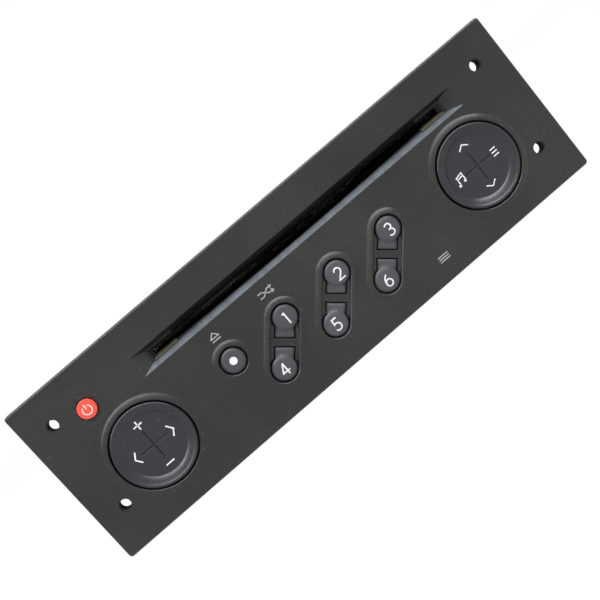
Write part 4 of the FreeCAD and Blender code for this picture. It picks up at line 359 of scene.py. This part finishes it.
def printed_ink(name, colour):
    material, tree, shader = new_material(name)
    worn = ramp(tree, noise(tree, 1500, 4), 0.0, 1.0, 0.3, 0.75)
    tree.links.new(blended(tree, worn, colour, [c * 0.82 for c in colour]), shader.inputs["Base Color"])
    shader.inputs["Roughness"].default_value = 0.5
    return material


def dress_nodes():
    """Gives every CAD node its material."""
    # The panel and the slot guides carry the painted highlight on the slot's lower bevel
    slot = (Vector((SLOT_MIDDLE[0], 0, SLOT_MIDDLE[1])) * MM, *(size * MM for size in SLOT_HALF_SIZE))
    panel = moulded("panel_plastic", (0.006, 0.006, 0.0056), 0.34, dust=0.2, sheen=0.46, edge_radius=0.0006,
                    lip_highlight=(LIP_PAINTED_HIGHLIGHT, *slot), holes=[size * MM for size in RELEASE_HOLES])
    guide = moulded("guide_plastic", (0.014, 0.014, 0.0135), 0.45, grain=0.2, sheen=0.4,
                    lip_highlight=(GUIDE_LIP_PAINTED_HIGHLIGHT, *slot))
    ring = ([place * MM for place in PADS["right"]], *(size * MM for size in (*PAD_RING, PAD_RING_RISE)))
    pad = moulded("pad_plastic", (0.006, 0.006, 0.0095), 0.34, dust=0.05, grain=0.15, sheen=0.52,
                  edge_radius=0.0004, ring=ring)
    key = moulded("key_plastic", (0.03, 0.029, 0.035), 0.3, dust=0.03, grain=0.1, sheen=0.66,
                  edge_radius=0.0018)
    red = moulded("red_plastic", (0.62, 0.06, 0.035), 0.38, grain=0.08, lighter=1.15)
    black = moulded("black_plastic", (0.014, 0.014, 0.0145), 0.5, grain=0.2, sheen=0.3)
    pale = moulded("pale_plastic", (0.62, 0.6, 0.52), 0.42, grain=0.12, lighter=1.08)
    cable = moulded("cable_plastic", (0.6, 0.62, 0.66), 0.4, grain=0.05, lighter=1.1)
    component = moulded("component_black", (0.016, 0.016, 0.018), 0.5)
    silicone = soft("silicone", (0.03, 0.03, 0.032), 0.62, 900.0, 0.15)
    rubber = soft("roller_rubber", (0.03, 0.03, 0.03), 0.8, 1400.0, 0.4)
    felt = soft("felt", (0.008, 0.008, 0.009), 1.0, 3200.0, 0.4, sheen=0.1)
    zinc = metal("plated_steel", (0.46, 0.447, 0.415), 0.17, scale=260.0, spangle=0.45)
    latch = metal("latch_steel", (0.6, 0.59, 0.57), 0.28, (0.05, 1, 1), 900.0)
    screw = metal("screw_steel", (0.55, 0.53, 0.48), 0.3)
    pin = metal("pin_steel", (0.76, 0.76, 0.76), 0.16, spread=0.05)
    motor = metal("motor_steel", (0.58, 0.58, 0.58), 0.3, (1, 1, 0.05))
    sink = metal("sink_aluminium", (0.58, 0.585, 0.6), 0.36, (1, 1, 0.03), 1200.0)
    alloy = metal("pickup_alloy", (0.42, 0.43, 0.45), 0.48, scale=900.0)
    tin = metal("contact_tin", (0.72, 0.7, 0.64), 0.3)
    nickel = metal("nickel", (0.6, 0.58, 0.54), 0.22, spread=0.06)
    board = circuit_board("circuit_board")
    lens = moulded("lens_plastic", (0.05, 0.09, 0.22), 0.12, grain=0.02)
    by_material = {
        panel: ["front_panel"],
        pad: ["left_pad", "right_pad"],
        key: ["eject_button"] + [f"key_{i}" for i in range(1, 7)],
        red: ["power_button"],
        guide: ["slot_guides"],
        black: ["iso_connector", "disc_guide", "clamp_puck", "turntable"],
        pale: ["left_pad_gimbal", "right_pad_gimbal", "pad_mounts", "second_gear", "first_gear",
               "loading_pinion", "mode_pinion", "sled_gear", "sled_pinion"],
        cable: ["ribbon_cable"],
        component: ["board_components", "amplifier_chip"],
        silicone: ["keymat"],
        rubber: ["loading_roller", "dampers"],
        felt: ["dust_felts"],
        zinc: ["chassis", "top_cover", "mech_frame", "roller_bracket", "gear_bracket", "mode_slide",
               "clamp_arm", "deck"],
        latch: ["side_latch_left", "side_latch_right"],
        screw: ["case_screws", "inner_screws", "rear_stud"],
        pin: ["latch_pins", "roller_shaft", "guide_rods"],
        motor: ["loading_motor", "mode_motor", "spindle_motor", "sled_motor"],
        sink: ["heat_sink"],
        alloy: ["pickup_sled"],
        tin: ["connector_pins"],
        nickel: ["antenna_socket", "tuner_module"],
        board: ["front_board", "main_board"],
        lens: ["objective_lens"],
    }
    for material, names in by_material.items():
        for name in names:
            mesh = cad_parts[name].data
            mesh.materials.clear()
            mesh.materials.append(material)


def smooth(pieces):
    """Smooth shading on curved faces, with the real edges kept sharp."""
    for piece in pieces:
        with bpy.context.temp_override(active_object=piece, object=piece, selected_editable_objects=[piece]):
            bpy.ops.object.shade_smooth_by_angle(angle=SMOOTH_ANGLE)


# The key mat, cut into its web and its domes

def cut_mat():
    """Divides the mat into its web and its domes, one piece for the domes under each key and pad."""
    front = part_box("keymat")[1].y - (MAT_WALL + MAT_CUT) * MM
    domes = {f"preset_{number}_press": ([key_place(number)], KEY_DOME_GIVE) for number in DIGITS}
    domes["eject_key_press"] = ([EJECT_KEY], KEY_DOME_GIVE)
    domes["power_key_press"] = ([POWER_KEY], KEY_DOME_GIVE)
    for side, (x, z) in PADS.items():
        places = [(x + i * PAD_DOME_PLACE, z + j * PAD_DOME_PLACE) for i in (-1, 1) for j in (-1, 1)]
        domes[f"{side}_pad_rock_up_down"] = (places, PAD_DOME_GIVE)
    pieces = [mat_piece("keymat_web", front)]
    for joint, (places, give) in domes.items():
        piece = mat_piece(f"keymat_dome_{joint}", front, places)
        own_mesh(piece)
        pieces.append(piece)
    smooth(pieces)


def mat_piece(name, front, places=None):
    """The mat behind its front face, or only the domes at some places before it, closed where it is cut."""
    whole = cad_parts["keymat"].data
    shape = bmesh.new()
    shape.from_mesh(whole)
    bmesh.ops.remove_doubles(shape, verts=shape.verts, dist=MAT_CUT * MM / 10)
    bmesh.ops.bisect_plane(shape, geom=[*shape.verts, *shape.edges, *shape.faces], plane_co=(0, front, 0),
                           plane_no=(0, 1, 0), clear_inner=not places, clear_outer=bool(places))
    if places:
        spots = [Vector(place) * MM for place in places]
        far = [v for v in shape.verts
               if min((Vector((v.co.x, v.co.z)) - spot).length for spot in spots) > DOME_REACH * MM]
        bmesh.ops.delete(shape, geom=far, context="VERTS")
    bmesh.ops.holes_fill(shape, edges=[edge for edge in shape.edges if edge.is_boundary], sides=0)
    bmesh.ops.recalc_face_normals(shape, faces=shape.faces)
    mesh = bpy.data.meshes.new(name)
    shape.to_mesh(mesh)
    shape.free()
    mesh.materials.append(whole.materials[0])
    piece = bpy.data.objects.new(name, mesh)
    bpy.context.scene.collection.objects.link(piece)
    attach(piece, "unit")
    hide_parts("keymat")
    return piece


# Printed signs

def arc(x, z, across, up, start, end, steps=18):
    """Points along part of an ellipse, by angles in degrees."""
    angles = [math.radians(start + (end - start) * i / steps) for i in range(steps + 1)]
    return [(x + across * math.cos(a), z + up * math.sin(a)) for a in angles]


DIGITS = {
    1: [[(0.15, 0.9), (0.32, 0.94)], [(0.32, 1.0), (0.32, 0.0)]],
    2: [arc(0.29, 0.72, 0.26, 0.27, 165, -35) + [(0.03, 0.05), (0.6, 0.05)]],
    3: [arc(0.27, 0.74, 0.24, 0.24, 150, -90) + arc(0.27, 0.26, 0.28, 0.25, 90, -150)],
    4: [[(0.46, 0.0), (0.46, 0.98)], [(0.44, 0.95), (0.04, 0.28), (0.68, 0.28)]],
    5: [[(0.54, 0.96), (0.14, 0.96), (0.11, 0.55)] + arc(0.26, 0.3, 0.29, 0.29, 112, -150)],
    6: [arc(0.62, 0.3, 0.58, 0.67, 110, 180) + arc(0.3, 0.29, 0.26, 0.28, 180, 540, 30)],
}


def divided(line, step):
    """The line with points added so that none is further than step from the next."""
    points = [Vector(line[0])]
    for a, b in zip(line, line[1:]):
        a, b = Vector(a), Vector(b)
        count = max(1, math.ceil((b - a).length / step))
        points += [a.lerp(b, (i + 1) / count) for i in range(count)]
    return [p for i, p in enumerate(points) if i == 0 or (p - points[i - 1]).length > 1e-6]


def ribbon(shape, line, width):
    """Adds a flat ribbon along a line of (x, z) points to a mesh, with mitred corners."""
    points = divided(line, PRINT_STEP)
    closed = (points[0] - points[-1]).length < 1e-6
    rows = []
    for i, point in enumerate(points):
        before = points[i - 1] if i else (points[-2] if closed else None)
        after = points[i + 1] if i + 1 < len(points) else (points[1] if closed else None)
        sides = [(q - p).normalized().orthogonal() for p, q in ((before, point), (point, after))
                 if p is not None and q is not None]
        side = sum(sides, Vector((0, 0))).normalized()
        side *= width / 2 / max(0.5, side.dot(sides[0]))
        rows.append([shape.verts.new((p.x, 0, p.y)) for p in (point + side, point, point - side)])
    for a, b in zip(rows, rows[1:]):
        for i in range(2):
            shape.faces.new((a[i], a[i + 1], b[i + 1], b[i]))


def disc(shape, x, z, radius):
    middle = shape.verts.new((x, 0, z))
    rows = [[shape.verts.new((px, 0, pz)) for px, pz in arc(x, z, r, r, 0, 360, 32)[:-1]]
            for r in (radius / 2, radius)]
    for i in range(32):
        j = (i + 1) % 32
        shape.faces.new((middle, rows[0][i], rows[0][j]))
        shape.faces.new((rows[0][i], rows[1][i], rows[1][j], rows[0][j]))


def print_on(name, node, body, material, lines=(), width=0.5, dots=()):
    """A thin printed sign that lies on a CAD node's front, on its real surface."""
    shape = bmesh.new()
    for line in lines:
        ribbon(shape, line, width)
    for x, z, radius in dots:
        disc(shape, x, z, radius)
    surface = BVHTree.FromPolygons([v.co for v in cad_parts[node].data.vertices],
                                   [p.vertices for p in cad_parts[node].data.polygons])
    for vertex in shape.verts:
        start = Vector((vertex.co.x * MM, cad_box[0].y - 0.01, vertex.co.z * MM))
        hit = surface.ray_cast(start, Vector((0, 1, 0)))[0]
        vertex.co = (start.x, hit.y - PRINT_PROUD * MM, start.z)
    bmesh.ops.recalc_face_normals(shape, faces=shape.faces)
    mesh = bpy.data.meshes.new(name)
    shape.to_mesh(mesh)
    shape.free()
    mesh.materials.append(material)
    piece = bpy.data.objects.new(name, mesh)
    bpy.context.scene.collection.objects.link(piece)
    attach(piece, body)
    return piece


def placed(lines, x, z, scale=1.0):
    return [[(x + px * scale, z + pz * scale) for px, pz in line] for line in lines]


def print_signs():
    white = printed_ink("white_ink", (0.74, 0.74, 0.75))
    grey = printed_ink("grey_ink", (0.36, 0.36, 0.37))
    pink = printed_ink("pale_red_ink", (0.85, 0.55, 0.5))
    for number, line in DIGITS.items():
        x, z = key_place(number)
        start = DIGIT_STARTS[number - 1]
        print_on(f"digit_{number}", f"key_{number}", f"preset_{number}", white,
                 placed(line, x + start[0], z + start[1], DIGIT_HEIGHT), DIGIT_WIDTH)
    print_on("eject_dot", "eject_button", "eject_key", white,
             dots=[(*EJECT_KEY, EJECT_DOT_RADIUS)])
    x, z = POWER_KEY
    print_on("power_sign", "power_button", "power_key", pink,
             [arc(x, z - 0.2, POWER_SIGN_RADIUS, POWER_SIGN_RADIUS, 125, 415), [(x, z), (x, z + 1.9)]], 0.42)
    x, z = PADS["left"]
    print_on("left_pad_signs", "left_pad", "left_rocker", white, [
        [(x - 1.7, z + 8.3), (x + 1.7, z + 8.3)], [(x, z + 6.6), (x, z + 10.0)],
        [(x - 1.7, z - 8.0), (x + 1.7, z - 8.0)],
        [(x - 6.6, z + 2.2), (x - 8.1, z), (x - 6.6, z - 2.2)],
        [(x + 6.6, z + 2.2), (x + 8.1, z), (x + 6.6, z - 2.2)]], 0.5)
    x, z = PADS["right"]
    note = [[(-1.0, -1.4), (-1.0, 1.5), (1.4, 2.0), (1.4, -0.9)], [(-1.0, 0.6), (1.4, 1.1)]]
    print_on("right_pad_signs", "right_pad", "right_rocker", white, [
        [(x - 1.9, z + 7.5), (x, z + 8.9), (x + 1.9, z + 7.5)],
        [(x - 1.9, z - 7.2), (x, z - 8.6), (x + 1.9, z - 7.2)],
        *placed(note, x - 7.4, z - 0.1),
        [(x + 6.3, z + 1.2), (x + 8.5, z + 1.2)], [(x + 6.3, z), (x + 8.5, z)],
        [(x + 6.3, z - 1.2), (x + 8.5, z - 1.2)]], 0.4,
        [(x - 8.75, z - 1.5, NOTE_HEAD_RADIUS), (x - 6.35, z - 1.0, NOTE_HEAD_RADIUS)])
    x, z = EJECT_KEY[0] + 0.4, EJECT_KEY[1] + 10.2
    crossing = [[(-3.2, -1.0), (-1.4, -1.0), (1.2, 1.0), (3.2, 1.0)],
                [(-3.2, 1.0), (-1.4, 1.0), (1.2, -1.0), (3.2, -1.0)],
                [(2.3, 1.7), (3.3, 1.0), (2.3, 0.3)], [(2.3, -0.3), (3.3, -1.0), (2.3, -1.7)]]
    rows = [[(-2.6, 1.1), (2.6, 1.1)], [(-2.6, 0.0), (2.6, 0.0)], [(-2.6, -1.1), (2.6, -1.1)]]
    print_on("panel_signs", "front_panel", "unit", grey, [
        [(x - 1.6, z - 0.4), (x, z + 1.3), (x + 1.6, z - 0.4), (x - 1.6, z - 0.4)],
        [(x - 1.7, z - 1.4), (x + 1.7, z - 1.4)],
        *placed(crossing, FIRST_KEY[0] + 0.4, FIRST_KEY[1] + 10.4, 0.85),
        *placed(rows, 42.5, 7.8, 0.8)], 0.36)


# Floor, world and lamps

FLOOR_RADIUS = 12.0
FLOOR_DROP = 0.0002
WORLD_LIGHT = 0.15


def white_backdrop():
    """A pale floor that keeps the shadow, and a white surround that camera, gloss and glass rays see."""
    material, tree, shader = new_material("floor_paint")
    shader.inputs["Roughness"].default_value = 0.9
    shader.inputs["Specular IOR Level"].default_value = 0.0
    shader.inputs["Base Color"].default_value = (0.9, 0.9, 0.9, 1)
    glow = add(tree, "ShaderNodeEmission", {"Color": (1, 1, 1, 1), "Strength": 1.0})
    seen = seen_rays(tree)
    place = add(tree, "ShaderNodeTexCoord").outputs["Object"]
    away = add(tree, "ShaderNodeVectorMath", {0: place}, operation="LENGTH").outputs["Value"]
    share = maths(tree, "MULTIPLY", seen, ramp(tree, away, 0.85, 1.0, 0.3, 1.0))
    mix = add(tree, "ShaderNodeMixShader", {0: share, 1: shader.outputs[0], 2: glow.outputs[0]})
    tree.links.new(mix.outputs[0], tree.nodes["Material Output"].inputs["Surface"])
    shape = bmesh.new()
    bmesh.ops.create_circle(shape, cap_ends=True, segments=96, radius=FLOOR_RADIUS)
    mesh = bpy.data.meshes.new("floor")
    shape.to_mesh(mesh)
    shape.free()
    mesh.materials.append(material)
    floor = bpy.data.objects.new("floor", mesh)
    floor.location.z = -FLOOR_DROP
    bpy.context.scene.collection.objects.link(floor)

    world = bpy.data.worlds.new("surround")
    bpy.context.scene.world = world
    world.use_nodes = True
    tree = world.node_tree
    plain = tree.nodes["Background"]
    plain.inputs["Color"].default_value = (1, 1, 1, 1)
    plain.inputs["Strength"].default_value = WORLD_LIGHT
    white = add(tree, "ShaderNodeBackground", {"Color": (1, 1, 1, 1), "Strength": 1.0})
    mix = add(tree, "ShaderNodeMixShader", {0: seen_rays(tree), 1: plain.outputs[0], 2: white.outputs[0]})
    tree.links.new(mix.outputs[0], tree.nodes["World Output"].inputs["Surface"])


def seen_rays(tree):
    """One for camera, glossy and transmission rays."""
    path = add(tree, "ShaderNodeLightPath").outputs
    seen = maths(tree, "MAXIMUM", path["Is Camera Ray"], path["Is Glossy Ray"])
    return maths(tree, "MAXIMUM", seen, path["Is Transmission Ray"])


def lamp(name, place, target, size, power, colour=(1, 1, 1)):
    data = bpy.data.lights.new(name, "AREA")
    data.shape = "RECTANGLE"
    data.size, data.size_y = size
    data.energy = power
    data.color = colour
    light = bpy.data.objects.new(name, data)
    light.location = place
    light.rotation_euler = (Vector(target) - Vector(place)).to_track_quat("-Z", "Y").to_euler()
    bpy.context.scene.collection.objects.link(light)


def light_scene():
    middle = panel_middle()
    lamp("key_lamp", middle + Vector((-0.04, -0.37, 0.8)), middle, (2.6, 0.32), 26.0, (0.94, 0.97, 1.0))
    lamp("back_lamp", middle + Vector((0.3, 1.2, 0.9)), middle + Vector((0, 0.09, 0)), (0.8, 0.8), 5.0)


make_camera()
smooth(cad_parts.values())
dress_nodes()
cut_mat()
print_signs()
white_backdrop()
light_scene()
bpy.context.scene.view_settings.view_transform = "Standard"
